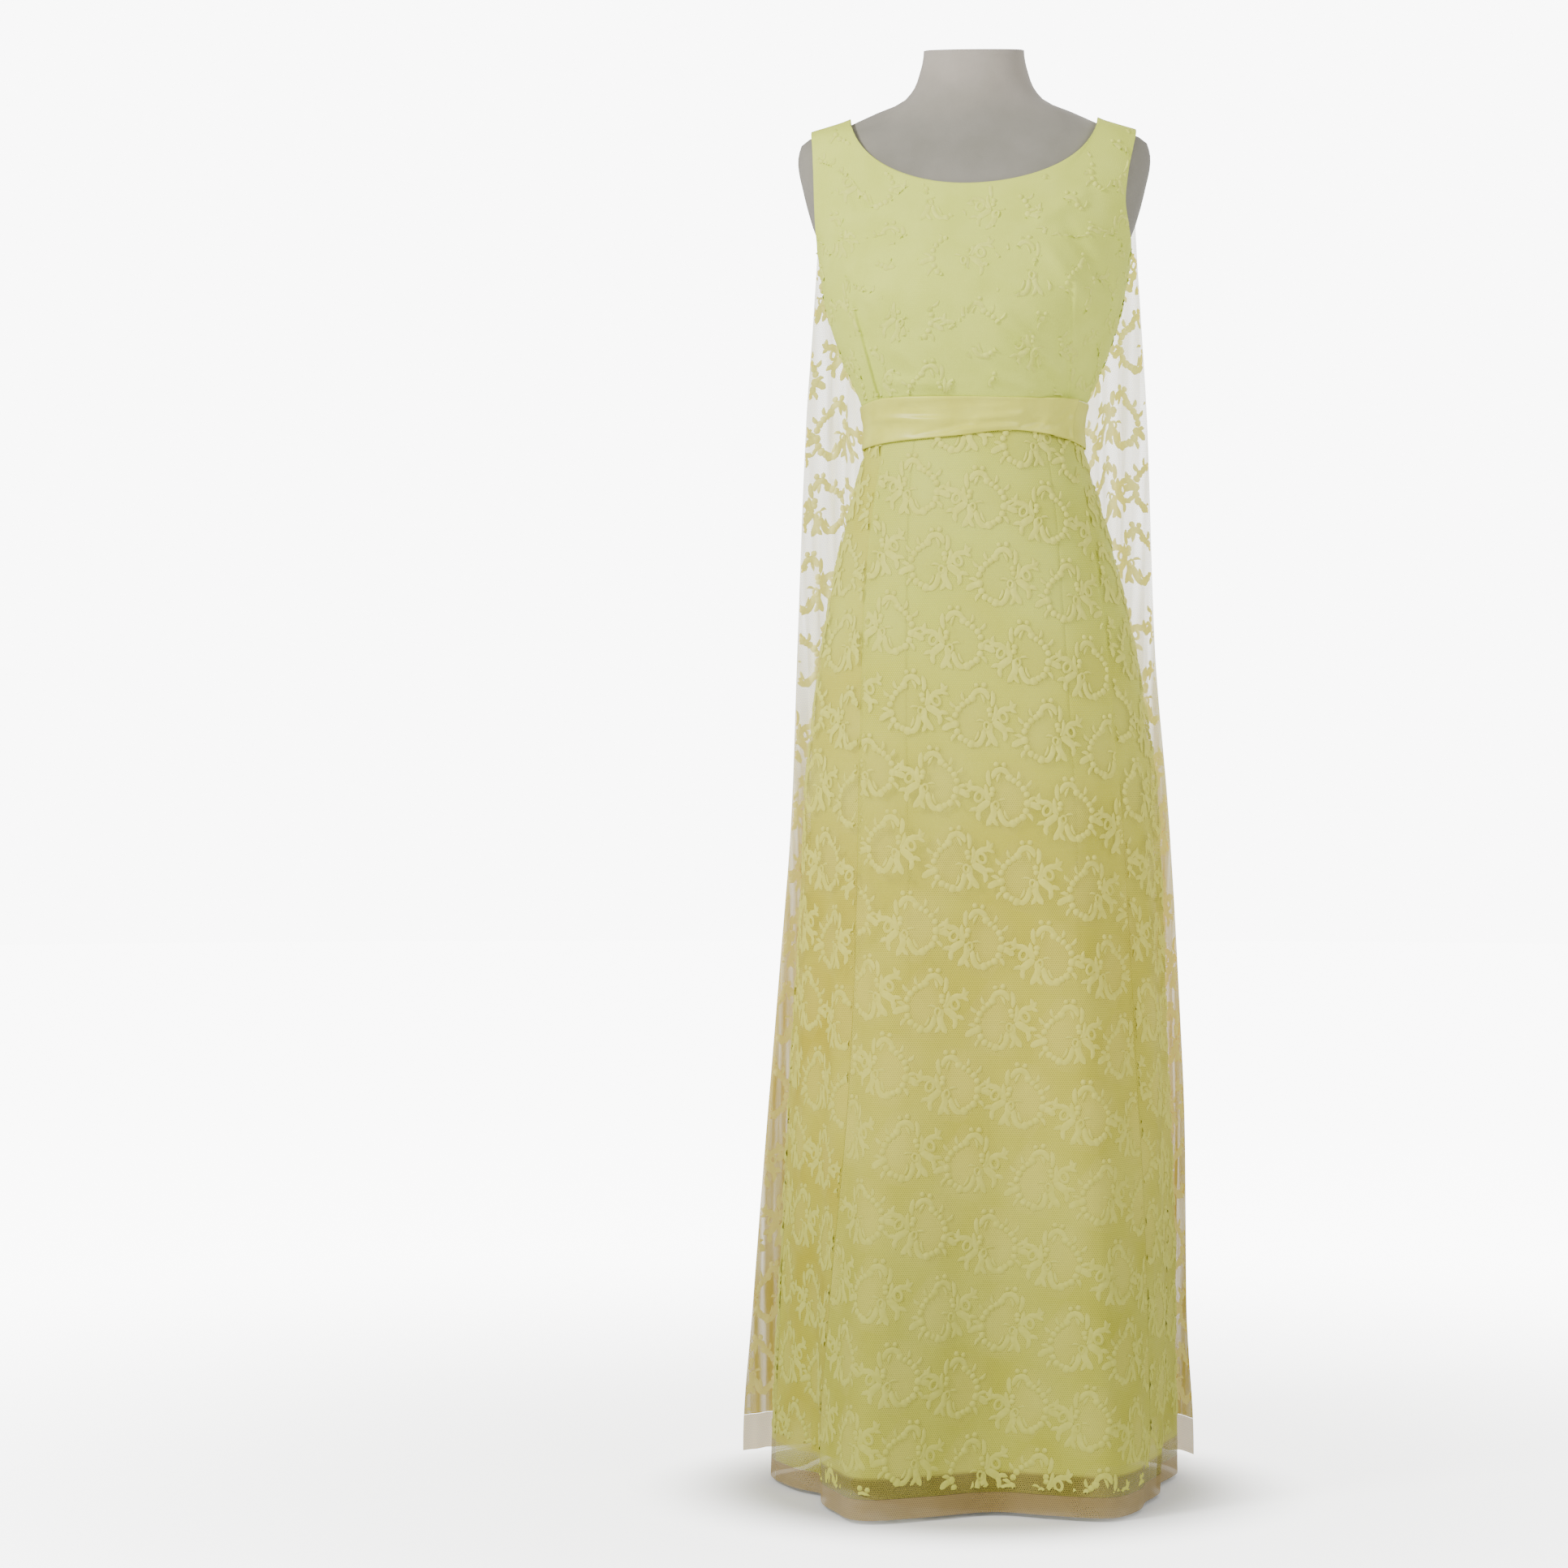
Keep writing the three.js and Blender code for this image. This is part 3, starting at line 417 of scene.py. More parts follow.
@dataclass
class Sheet:
    """A piece of cloth as a grid of points, whose rows run down it and columns across it.

    The columns run the way that puts the cloth's right side outwards.
    """

    points: Grid
    across: Array = field(init=False)
    down: Array = field(init=False)
    normals: Grid = field(init=False)

    def __post_init__(self) -> None:
        """Measures the sheet: its flat coordinates and its normals."""
        length = run_lengths(self.points)
        self.across = length - length[:, -1:] / 2
        falls = np.linalg.norm(np.diff(self.points, axis=0), axis=2).mean(axis=1)
        self.down = np.concatenate([[0.0], np.cumsum(falls)])
        along, below = np.gradient(self.points, axis=1), np.gradient(self.points, axis=0)
        normals = np.cross(below, along)
        size = np.linalg.norm(normals, axis=2, keepdims=True)
        self.normals = normals / np.maximum(size, 1e-9)

    @property
    def width(self) -> float:
        """The widest that the sheet is, measured along the cloth."""
        return float(2 * self.across[:, -1].max())

    @property
    def length(self) -> float:
        """How long the sheet is, measured down the cloth."""
        return float(self.down[-1])

    @property
    def area(self) -> float:
        """The cloth's own area, square millimetres."""
        near, far = self.points[:-1], self.points[1:]
        cross = np.cross(far[:, 1:] - near[:, :-1], far[:, :-1] - near[:, 1:])
        return float(np.linalg.norm(cross, axis=2).sum() / 2)

    def place(self, u: Array, v: Array, lift: Array) -> Grid:
        """Points on the sheet from flat coordinates.

        Args:
            u: how far to the right of the sheet's middle.
            v: how far down from its top.
            lift: how far off its right side.

        Returns:
            The points, as an array with 3 as its last size.
        """
        rows, columns = self.points.shape[:2]
        row = np.interp(v, self.down, np.arange(rows))
        low = np.clip(row.astype(int), 0, rows - 2)
        part = (row - low)[..., None]
        column = np.clip((u / self.half_width(v) + 1) / 2, 0, 1) * (columns - 1)
        left = np.clip(column.astype(int), 0, columns - 2)
        side = (column - left)[..., None]

        def blend(grid: Grid) -> Grid:
            """The grid's values between its four nearest points."""
            top = grid[low, left] * (1 - side) + grid[low, left + 1] * side
            foot = grid[low + 1, left] * (1 - side) + grid[low + 1, left + 1] * side
            return top * (1 - part) + foot * part

        return blend(self.points) + blend(self.normals) * np.asarray(lift)[..., None]

    def half_width(self, v: Array) -> Array:
        """Half the cloth's width at a way down from its top."""
        return np.interp(v, self.down, self.across[:, -1])


def even_columns(points: Grid, columns: int) -> Grid:
    """The grid with its columns moved so that they stand evenly along the cloth in each row."""
    length = run_lengths(points)
    result = np.empty((len(points), columns, 3))
    for row, run in enumerate(length):
        wanted = np.linspace(0, run[-1], columns)
        for axis in range(3):
            result[row, :, axis] = np.interp(wanted, run, points[row, :, axis])
    return result


def grid_faces(rows: int, columns: int, start: int = 0, turned: bool = False) -> Array:
    """The quads of a grid whose right side is up, as an array of four indices each."""
    i, j = np.meshgrid(np.arange(rows - 1), np.arange(columns - 1), indexing="ij")
    a = start + (i * columns + j).ravel()
    quads = np.stack([a, a + columns, a + columns + 1, a + 1], axis=1)
    return quads[:, ::-1] if turned else quads


def shell_faces(rows: int, columns: int) -> Array:
    """The quads of a closed shell of two grids of the same size, the outer one first."""
    size = rows * columns
    outer = grid_faces(rows, columns)
    inner = grid_faces(rows, columns, size, turned=True)
    index = np.arange(size).reshape(rows, columns)
    loop = np.concatenate([index[0, :-1], index[:-1, -1], index[-1, :0:-1], index[:0:-1, 0]])
    after = np.roll(loop, -1)
    rim = np.stack([loop, after, after + size, loop + size], axis=1)
    return np.concatenate([outer, inner, rim])


def put_in_scene(name: str, data: bpy.types.ID) -> Object:
    """A new object in the scene that shows a mesh, a lamp or a camera."""
    made = bpy.data.objects.new(name, data)
    bpy.context.scene.collection.objects.link(made)
    return made


def make_piece(
    name: str,
    points: Array,
    faces: Array,
    finish: "Finish",
    flat: Array | None = None,
) -> Object:
    """A mesh object that rides on the part.

    Args:
        name: the piece's name.
        points: its points, millimetres.
        faces: their indices, three or four to a face.
        finish: what it is made of.
        flat: flat coordinates of each point, millimetres, for the weave.

    Returns:
        The object.
    """
    mesh = bpy.data.meshes.new(name)
    count, corners = len(faces), faces.shape[1]
    mesh.vertices.add(len(points))
    mesh.vertices.foreach_set("co", (points * MM).astype(np.float32).ravel())
    mesh.loops.add(count * corners)
    mesh.loops.foreach_set("vertex_index", faces.astype(np.int32).ravel())
    mesh.polygons.add(count)
    mesh.polygons.foreach_set("loop_start", np.arange(0, count * corners, corners, dtype=np.int32))
    mesh.update(calc_edges=True)
    mesh.validate()
    mesh.polygons.foreach_set("use_smooth", np.ones(len(mesh.polygons), bool))
    if flat is not None:
        layer = mesh.uv_layers.new(name="Flat")
        index = np.empty(len(mesh.loops), np.int32)
        mesh.loops.foreach_get("vertex_index", index)
        layer.data.foreach_set("uv", (flat[index] * MM).astype(np.float32).ravel())
    mesh.materials.append(finish.material())
    piece = put_in_scene(name, mesh)
    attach(piece, BODY)
    LOG.info("%s: %d faces of %s", name, count, finish.name)
    return piece


def flat_of(sheet: Sheet, start: tuple[float, float] = (0.0, 0.0)) -> Array:
    """The flat coordinates of a sheet's points from a starting place, one pair to a point."""
    down = np.broadcast_to(sheet.down[:, None], sheet.across.shape)
    return np.stack([sheet.across - start[0], start[1] - down], axis=-1).reshape(-1, 2)


def make_net(
    name: str, sheet: Sheet, finish: "Finish", start: tuple[float, float] = (0.0, 0.0)
) -> Object:
    """A single fine layer of cloth, such as net, whose holes let light through."""
    rows, columns = sheet.points.shape[:2]
    points, flat = sheet.points.reshape(-1, 3), flat_of(sheet, start)
    return make_piece(name, points, grid_faces(rows, columns), finish, flat)


def make_shell(name: str, outer: Sheet, inner: Grid, finish: "Finish") -> Object:
    """A closed thin shell of cloth whose edges are turned, so that they look rolled."""
    face, back = outer.points.copy(), inner.copy()
    middle = (face + back) / 2
    for edge in (np.s_[0, :], np.s_[-1, :], np.s_[:, 0], np.s_[:, -1]):
        for layer in (face, back):
            layer[edge] = mix(middle[edge], layer[edge], ROLLED_EDGE)
    points = np.concatenate([face.reshape(-1, 3), back.reshape(-1, 3)])
    flat = np.tile(flat_of(outer), (2, 1))
    return make_piece(name, points, shell_faces(*inner.shape[:2]), finish, flat)


# ---------------------------------------------------------------- finishes


def linear(colour: str) -> tuple[float, float, float, float]:
    """An sRGB hex colour, such as "c8ca93", as linear light with a full alpha."""
    parts = [int(colour[k : k + 2], 16) / 255 for k in (0, 2, 4)]
    light = [c / 12.92 if c <= 0.04045 else ((c + 0.055) / 1.055) ** 2.4 for c in parts]
    return (*light, 1.0)


def add_node(tree: Tree, kind: str, inputs: dict | None = None, **settings) -> bpy.types.Node:
    """Adds a node to a tree.

    Args:
        tree: the material's or the world's tree.
        kind: the node's type.
        inputs: by socket name or number, a value or a socket that is linked to it.
        settings: the node's own properties.

    Returns:
        The node.
    """
    node = tree.nodes.new(kind)
    for name, value in settings.items():
        setattr(node, name, value)
    for key, value in (inputs or {}).items():
        if isinstance(value, Socket):
            tree.links.new(value, node.inputs[key])
        else:
            node.inputs[key].default_value = value
    return node


def new_material(name: str, values: Callable[[Tree], dict]) -> bpy.types.Material:
    """A material of one principled shader.

    Args:
        name: its name.
        values: adds the nodes that the shader reads, and gives the shader's inputs.

    Returns:
        The material.
    """
    material = bpy.data.materials.new(name)
    material.use_nodes = True
    tree = material.node_tree
    tree.nodes.clear()
    shader = add_node(tree, "ShaderNodeBsdfPrincipled", values(tree))
    add_node(tree, "ShaderNodeOutputMaterial", {"Surface": shader.outputs[0]})
    return material


def specks(tree: Tree, size: float, detail: float) -> Socket:
    """Soft specks of a size in millimetres, with so many finer octaves, all through the piece."""
    place = add_node(tree, "ShaderNodeTexCoord").outputs["Object"]
    cloud = {"Vector": place, "Scale": 1 / (size * MM), "Detail": detail}
    return add_node(tree, "ShaderNodeTexNoise", cloud).outputs["Fac"]


def strands(tree: Tree, across: float, along: float, detail: float) -> Socket:
    """Specks on the flat cloth, drawn out to a width and a length in millimetres."""
    flat = add_node(tree, "ShaderNodeUVMap", uv_map="Flat").outputs[0]
    scale = {0: flat, 1: (1 / (across * MM), 1 / (along * MM), 1)}
    drawn = add_node(tree, "ShaderNodeVectorMath", scale, operation="MULTIPLY").outputs[0]
    cloud = {"Vector": drawn, "Scale": 1.0, "Detail": detail}
    return add_node(tree, "ShaderNodeTexNoise", cloud).outputs["Fac"]


def height_share(tree: Tree, top: float, foot: float) -> Socket:
    """A soft share that is 0 above one height and 1 below another, in millimetres."""
    place = add_node(tree, "ShaderNodeTexCoord").outputs["Object"]
    apart = add_node(tree, "ShaderNodeSeparateXYZ", {0: place})
    height = {"Value": apart.outputs["Z"], "From Min": top * MM, "From Max": foot * MM}
    return add_node(tree, "ShaderNodeMapRange", height, interpolation_type="SMOOTHSTEP").outputs[0]


def net_pattern(tree: Tree, cell: float) -> Socket:
    """The threads of a six-sided net, from three waves at 60 degrees.

    Args:
        tree: the material's tree.
        cell: from one mesh of the net to the next, millimetres.

    Returns:
        A value from 0 in the middle of a hole to 1 on a thread.
    """
    flat = add_node(tree, "ShaderNodeUVMap", uv_map="Flat").outputs[0]
    pitch = 2 * math.pi / (cell * MM * math.sqrt(3) / 2)
    total = 0.0
    for turn in (math.radians(degrees) for degrees in (90, 210, 330)):
        way = {0: flat, 1: (math.cos(turn) * pitch, math.sin(turn) * pitch, 0)}
        along = add_node(tree, "ShaderNodeVectorMath", way, operation="DOT_PRODUCT").outputs
        wave = add_node(tree, "ShaderNodeMath", {0: along["Value"]}, operation="COSINE").outputs[0]
        total = add_node(tree, "ShaderNodeMath", {0: wave, 1: total}, operation="ADD").outputs[0]
    spread = {"Value": total, "From Min": 0.6, "From Max": -0.9}
    return add_node(tree, "ShaderNodeMapRange", spread).outputs[0]


def wreath_hearts(tree: Tree, outer: float, inner: float) -> Socket:
    """The place of each wreath of the repeat, as a soft oval.

    Args:
        tree: the material's tree.
        outer: where the oval ends, as a share of the wreath's ring.
        inner: where it is whole.

    Returns:
        A value of 1 in the oval and 0 elsewhere.
    """
    flat = add_node(tree, "ShaderNodeUVMap", uv_map="Flat").outputs[0]
    right = Vector((WREATH.across[0], -WREATH.across[1], 0)) * MM
    below = Vector((WREATH.below[0], -WREATH.below[1], 0)) * MM
    area = right.x * below.y - right.y * below.x
    ways = (
        (right, (below.y / area, -below.x / area, 0)),
        (below, (-right.y / area, right.x / area, 0)),
    )
    place, row = flat, None
    for step, way in ways:
        along = add_node(tree, "ShaderNodeVectorMath", {0: flat, 1: way}, operation="DOT_PRODUCT")
        count = {0: along.outputs["Value"]}
        row = add_node(tree, "ShaderNodeMath", count, operation="ROUND").outputs[0]
        stride = {0: step, "Scale": row}
        back = add_node(tree, "ShaderNodeVectorMath", stride, operation="SCALE").outputs[0]
        moved = {0: place, 1: back}
        place = add_node(tree, "ShaderNodeVectorMath", moved, operation="SUBTRACT").outputs[0]
    odd = add_node(tree, "ShaderNodeMath", {0: row, 1: 1.0}, operation="PINGPONG").outputs[0]
    middle = {"Value": odd, "To Min": WREATH.ring_x * MM, "To Max": -WREATH.ring_x * MM}
    shift = add_node(tree, "ShaderNodeMapRange", middle).outputs[0]
    centre = {0: place, 1: add_node(tree, "ShaderNodeCombineXYZ", {"X": shift}).outputs[0]}
    local = add_node(tree, "ShaderNodeVectorMath", centre, operation="SUBTRACT").outputs[0]
    ring = {0: local, 1: (WREATH.ring_size[0] * MM, WREATH.ring_size[1] * MM, 1)}
    oval = add_node(tree, "ShaderNodeVectorMath", ring, operation="DIVIDE").outputs[0]
    reach = add_node(tree, "ShaderNodeVectorMath", {0: oval}, operation="LENGTH").outputs["Value"]
    limits = {"Value": reach, "From Min": outer, "From Max": inner}
    return add_node(tree, "ShaderNodeMapRange", limits).outputs[0]


@dataclass(frozen=True)
class PaintedShade:
    """Painted shade: how a cloth's colour darkens from one height down to another, as a tint at the
    lower one.
    """

    top: float
    foot: float
    tint: str


@dataclass(frozen=True)
class Finish(ABC):
    """A surface: what it is made of and how that was worked."""

    name: str
    light: str  # the paler of the two sRGB colours that it drifts between
    dark: str
    # the steps of painted shade that darken the colour lower down
    deeper: tuple[PaintedShade, ...] = ()
    patch: float = 30.0  # how large the drifts of colour are, millimetres
    roughness: float = 0.8
    specular: float = 0.2
    relief: tuple[float, float] = (0.25, 0.2)  # how strong it is, and how deep in millimetres
    made: ClassVar[dict[str, bpy.types.Material]] = {}

    def material(self) -> bpy.types.Material:
        """The finish's material, made once."""
        if self.name not in Finish.made:
            Finish.made[self.name] = new_material(self.name, self.values)
        return Finish.made[self.name]

    def values(self, tree: Tree) -> dict:
        """The shader's inputs."""
        grain = self.grain(tree)
        relief = {"Height": grain, "Strength": self.relief[0], "Distance": self.relief[1] * MM}
        return {
            "Base Color": self.colour(tree),
            "Roughness": self.roughness,
            "Specular IOR Level": self.specular,
            "Normal": add_node(tree, "ShaderNodeBump", relief).outputs[0],
            **self.own_values(tree, grain),
        }

    def colour(self, tree: Tree) -> Socket:
        """The colour, darkened by each step's tint of painted shade."""
        colour = self.drift(tree)
        for step in self.deeper:
            tint = {0: height_share(tree, step.top, step.foot), 6: colour, 7: linear(step.tint)}
            kinds = {"data_type": "RGBA", "blend_type": "MULTIPLY"}
            colour = add_node(tree, "ShaderNodeMix", tint, **kinds).outputs[2]
        return colour

    def drift(self, tree: Tree) -> Socket:
        """The colour before its painted shade, which drifts between two."""
        cloud = {"Value": specks(tree, self.patch, 4.0), "From Min": 0.32, "From Max": 0.68}
        share = add_node(tree, "ShaderNodeMapRange", cloud).outputs[0]
        mixed = {0: share, 6: linear(self.light), 7: linear(self.dark)}
        return add_node(tree, "ShaderNodeMix", mixed, data_type="RGBA").outputs[2]

    def own_values(self, tree: Tree, grain: Socket) -> dict:
        """What this finish's shader has beyond colour, roughness and relief."""
        return {}

    @abstractmethod
    def grain(self, tree: Tree) -> Socket:
        """The height of its weave or skin."""


@dataclass(frozen=True, kw_only=True)
class NylonNet(Finish):
    """Fine nylon net: a dull, stiff, sheer mesh. The real mesh is about 1.2 mm, too fine to show,
    so it is drawn at 2.2 mm, where it gives a faint grain and lets the layers behind show."""

    patch: float = 85.0
    hole: float  # how much the finest threads fill a hole
    thread: float  # how opaque a thread is
    heart: float = 0.0  # how much closer the net is inside a wreath
    heart_reach: tuple[float, float] = (1.3, 0.5)  # where that ends and where it is whole
    low: float = 0.0  # how much more it covers towards the foot, where its folds lie closer
    low_from: float = 820.0
    low_to: float = 300.0
    clear_foot: float = 0.0  # the height below which it is single again
    foot_hem: float = 0.12  # how much more it covers there, by its own turned edge
    inside: float = 0.0  # how much more it covers away from the sheet's two edges
    inside_reach: tuple[float, float] = (4.0, 24.0)  # where that starts and where it is whole
    halo: float = 0.0  # how much paler it is round each wreath in the lower skirt
    halo_reach: tuple[float, float] = (2.0, 0.5)
    halo_top: float = 960.0
    halo_foot: float = 600.0
    halo_colour: str = "f6f294"
    edge_foot: float = 240.0  # half the sheet's width at the floor
    edge_slope: float = 0.062  # how much that narrows with height
    streak: float = 0.0  # how much its cover changes from fold to fold
    streak_size: tuple[float, float] = (11.0, 420.0)
    glow: float = 0.0  # painted glow: emitted light that stands in for the pale surround's light coming through it
    cell: float = 2.2

    def grain(self, tree: Tree) -> Socket:
        """The net's threads."""
        return net_pattern(tree, self.cell)

    def away_from_edges(self, tree: Tree) -> Socket:
        """A share that is 0 at the sheet's two edges and 1 further in."""
        place = add_node(tree, "ShaderNodeTexCoord").outputs["Object"]
        apart = add_node(tree, "ShaderNodeSeparateXYZ", {0: place}).outputs
        out = add_node(tree, "ShaderNodeMath", {0: apart["X"]}, operation="ABSOLUTE").outputs[0]
        sloped = {0: apart["Z"], 1: self.edge_slope, 2: out}
        reach = add_node(tree, "ShaderNodeMath", sloped, operation="MULTIPLY_ADD").outputs[0]
        start, whole = ((self.edge_foot - far) * MM for far in self.inside_reach)
        limits = {"Value": reach, "From Min": start, "From Max": whole}
        soft = {"interpolation_type": "SMOOTHSTEP"}
        return add_node(tree, "ShaderNodeMapRange", limits, **soft).outputs[0]

    def shares(self, tree: Tree) -> list[tuple[Socket, float]]:
        """What closes the net: where, as a share, and by how much."""
        shares = []
        if self.heart:
            shares.append((wreath_hearts(tree, *self.heart_reach), self.heart))
        if self.low:
            low = height_share(tree, self.low_from, self.low_to)
            if self.clear_foot:
                above, under = self.clear_foot + 3, self.clear_foot - 2
                parts = {0: low, 1: height_share(tree, under, above)}
                low = add_node(tree, "ShaderNodeMath", parts, operation="MULTIPLY").outputs[0]
                shares.append((height_share(tree, above, under), self.foot_hem))
            shares.append((low, self.low))
        if self.inside:
            shares.append((self.away_from_edges(tree), self.inside))
        if self.streak:
            noise = strands(tree, *self.streak_size, 3.0)
            spread = {"Value": noise, "From Min": 0.35, "From Max": 0.65, "To Min": -1.0}
            share = add_node(tree, "ShaderNodeMapRange", spread).outputs[0]
            shares.append((share, self.streak))
        return shares

    def cover(self, tree: Tree, threads: Socket) -> Socket:
        """How opaque the net is, from its threads, wreaths and folds."""
        alpha = {"Value": threads, "To Min": self.hole, "To Max": self.thread}
        cover = add_node(tree, "ShaderNodeMapRange", alpha).outputs[0]
        kinds = {"operation": "MULTIPLY_ADD", "use_clamp": True}
        for share, weight in self.shares(tree):
            more = {0: share, 1: weight, 2: cover}
            cover = add_node(tree, "ShaderNodeMath", more, **kinds).outputs[0]
        return cover

    def drift(self, tree: Tree) -> Socket:
        """The net's colour, paler round the wreaths where the halo asks for it."""
        colour = super().drift(tree)
        if not self.halo:
            return colour
        share = height_share(tree, self.halo_top, self.halo_foot)
        for factor in (wreath_hearts(tree, *self.halo_reach), self.halo):
            parts = {0: share, 1: factor}
            share = add_node(tree, "ShaderNodeMath", parts, operation="MULTIPLY").outputs[0]
        paler = {0: share, 6: colour, 7: linear(self.halo_colour)}
        return add_node(tree, "ShaderNodeMix", paler, data_type="RGBA").outputs[2]

    def own_values(self, tree: Tree, grain: Socket) -> dict:
        """How opaque the net is, and its painted glow."""
        return {
            "Emission Color": linear(self.dark),
            "Emission Strength": self.glow,
            "Alpha": self.cover(tree, grain),
        }


@dataclass(frozen=True)
class LacedCloth(Finish):
    """Cotton lace over a backing of the same colour: matt, with the net's grain pressed into it."""

    patch: float = 35.0
    roughness: float = 0.85
    relief: tuple[float, float] = (0.35, 0.25)
    cell: float = 2.2

    def grain(self, tree: Tree) -> Socket:
        """The lace ground's threads."""
        return net_pattern(tree, self.cell)


@dataclass(frozen=True)
class CottonThread(Finish):
    """Mercerised cotton embroidery: soft rounded cords, a little paler than the net they lie on.
    Threads of 0.4 mm are drawn at 1.1 mm, which gives each petal its fine grain."""

    patch: float = 9.0
    glow: float = 0.0  # painted glow: emitted light that stands in for the pale surround's light coming through it
    cord: float = 1.1

    def grain(self, tree: Tree) -> Socket:
        """The threads' cords."""
        return specks(tree, self.cord, 2.0)

    def own_values(self, tree: Tree, grain: Socket) -> dict:
        """The thread's painted glow."""
        return {"Emission Color": linear(self.dark), "Emission Strength": self.glow}


@dataclass(frozen=True)
class Taffeta(Finish):
    """Acetate taffeta: smooth, close and slightly lustrous. Its ribs of 0.3 mm are drawn at
    1.8 mm. It is paler at the waist and painted darker towards the hem, as painted shade."""

    patch: float = 70.0
    roughness: float = 0.6
    specular: float = 0.25
    relief: tuple[float, float] = (0.15, 0.1)
    rib: float = 1.776
    band: float = math.tau / 20  # from crest to crest of Blender's wave texture at scale 1

    def grain(self, tree: Tree) -> Socket:
        """The ribs, one over the other and a little uneven."""
        place = add_node(tree, "ShaderNodeTexCoord").outputs["Object"]
        ribs = {"Vector": place, "Scale": self.band / (self.rib * MM), "Distortion": 0.4}
        return add_node(tree, "ShaderNodeTexWave", ribs, bands_direction="Z").outputs["Fac"]


@dataclass(frozen=True)
class Satin(Finish):
    """Rayon satin: long floats that lie level, so light slides over it in soft broad bands.
    The floats of 0.2 mm are drawn at 0.8 mm across and 12 mm along."""

    patch: float = 30.0
    roughness: float = 0.36
    specular: float = 0.4
    relief: tuple[float, float] = (0.2, 0.15)
    float_length: float = 12.0
    float_width: float = 0.8

    def grain(self, tree: Tree) -> Socket:
        """The floats, drawn out along the band."""
        return strands(tree, self.float_length, self.float_width, 2.0)

    def own_values(self, tree: Tree, grain: Socket) -> dict:
        """The shine's direction, along the floats."""
        return {"Anisotropic": 0.4}


@dataclass(frozen=True)
class Jersey(Finish):
    """Cotton jersey drawn over a padded form: matt, with a fine knit of 1 mm drawn at 1.6 mm."""

    patch: float = 45.0
    roughness: float = 0.92
    specular: float = 0.5
    relief: tuple[float, float] = (0.35, 0.4)
    stitch: float = 1.6

    def grain(self, tree: Tree) -> Socket:
        """The knit's stitches."""
        return specks(tree, self.stitch, 3.0)

    def own_values(self, tree: Tree, grain: Socket) -> dict:
        """The soft nap of the knit."""
        return {"Sheen Weight": 0.15}


@dataclass(frozen=True)
class PaintedSteel(Finish):
    """Steel with a bronze-brown stove enamel: a dull shine and a slight orange-peel of 2.5 mm."""

    patch: float = 20.0
    roughness: float = 0.42
    specular: float = 0.5
    relief: tuple[float, float] = (0.1, 0.1)
    peel: float = 2.5

    def grain(self, tree: Tree) -> Socket:
        """The enamel's orange-peel."""
        return specks(tree, self.peel, 1.0)


# Painted shade: the lining, net and thread are darkened lower down, where less light reaches under
# the lace and towards the hem.
CLOTH_PAINTED_SHADE = (PaintedShade(980, 520, "fbeec0"), PaintedShade(560, 150, "dbe3ea"))
# Painted shade for the deep fold in the left side gore, darker and more golden than the rest.
FOLD_PAINTED_SHADE = (PaintedShade(900, 480, "f1e6ae"), PaintedShade(560, 150, "dbe3e4"))
# Painted shade on the train, darker lower down.
TRAIN_PAINTED_SHADE = (PaintedShade(900, 450, "efe2c4"), PaintedShade(560, 150, "e2e2e0"))
# The net's painted shade, with a last step below the lining's hem that paints the shaded inside of
# the skirt onto the net.
NET_PAINTED_SHADE = (*CLOTH_PAINTED_SHADE, PaintedShade(47, 41, "dccef4"))
# Painted shade on the embroidery, darker lower down.
THREAD_PAINTED_SHADE = (PaintedShade(980, 520, "fbf3e6"), PaintedShade(560, 150, "e0e7ee"))
BODICE_CLOTH = LacedCloth("bodice lace over lining", "e8f36b", "dfea60")
NET_ON_LINING = NylonNet(
    "lace ground net", "e8ec78", "dadb5c", NET_PAINTED_SHADE,
    hole=0.25, thread=0.55, heart=0.07, low=0.42, clear_foot=43.0, halo=0.35,
)
# The left side gore's net, a darker and more golden copy of the net, as painted shade in its deep
# fold.
NET_IN_PAINTED_FOLD_SHADE = NylonNet(
    "lace ground net in folds", "ebeb72", "dfd554", FOLD_PAINTED_SHADE,
    hole=0.3, thread=0.6, heart=0.06, low=0.4, clear_foot=43.0, halo=0.4,
)
TRAIN_NET = NylonNet(
    "train net", "fff498", "fae87c", TRAIN_PAINTED_SHADE, hole=0.3, thread=0.56, heart=0.06,
    low=0.55, low_from=1040.0, low_to=560.0, inside=0.1, streak=0.12, glow=0.16,
)
# The hem's net is painted brown as the shade inside the skirt seen through it.
HEM_NET_IN_PAINTED_SHADE = NylonNet("hem net", "ac9464", "9c844e", hole=0.58, thread=0.84)
TRAIN_HEM_NET = NylonNet(
    "train hem net", "f0d896", "e4c880", hole=0.72, thread=0.9, glow=0.1
)
WREATH_THREAD = CottonThread("embroidery cotton", "e6e66e", "dcdc60", THREAD_PAINTED_SHADE)
BODICE_THREAD = CottonThread("bodice embroidery cotton", "eef478", "e2ea66")
TRAIN_THREAD = CottonThread(
    "train's embroidery cotton", "fffaa8", "fdf496", TRAIN_PAINTED_SHADE, glow=0.36
)
LINING_TAFFETA = Taffeta("lining taffeta", "e7ee5e", "e2e452", CLOTH_PAINTED_SHADE)
BELT_SATIN = Satin("belt satin", "f0ef64", "e2e052")
# The form's chest below the neck is painted darker, as painted shade.
FORM_JERSEY = Jersey("form jersey", "b5aca0", "a8a093", (PaintedShade(1440, 1370, "d3d7d5"),))
STAND_ENAMEL = PaintedSteel("stand enamel", "6e5a4c", "5a483c")


# ---------------------------------------------------------------- embroidered wreaths


FOOT_HEIGHT = 0.15  # how far a mark's edges lie off the cloth, millimetres


def triangles(quads: Array) -> Array:
    """Each quad as two triangles."""
    return np.concatenate([quads[:, [0, 1, 2]], quads[:, [0, 2, 3]]])


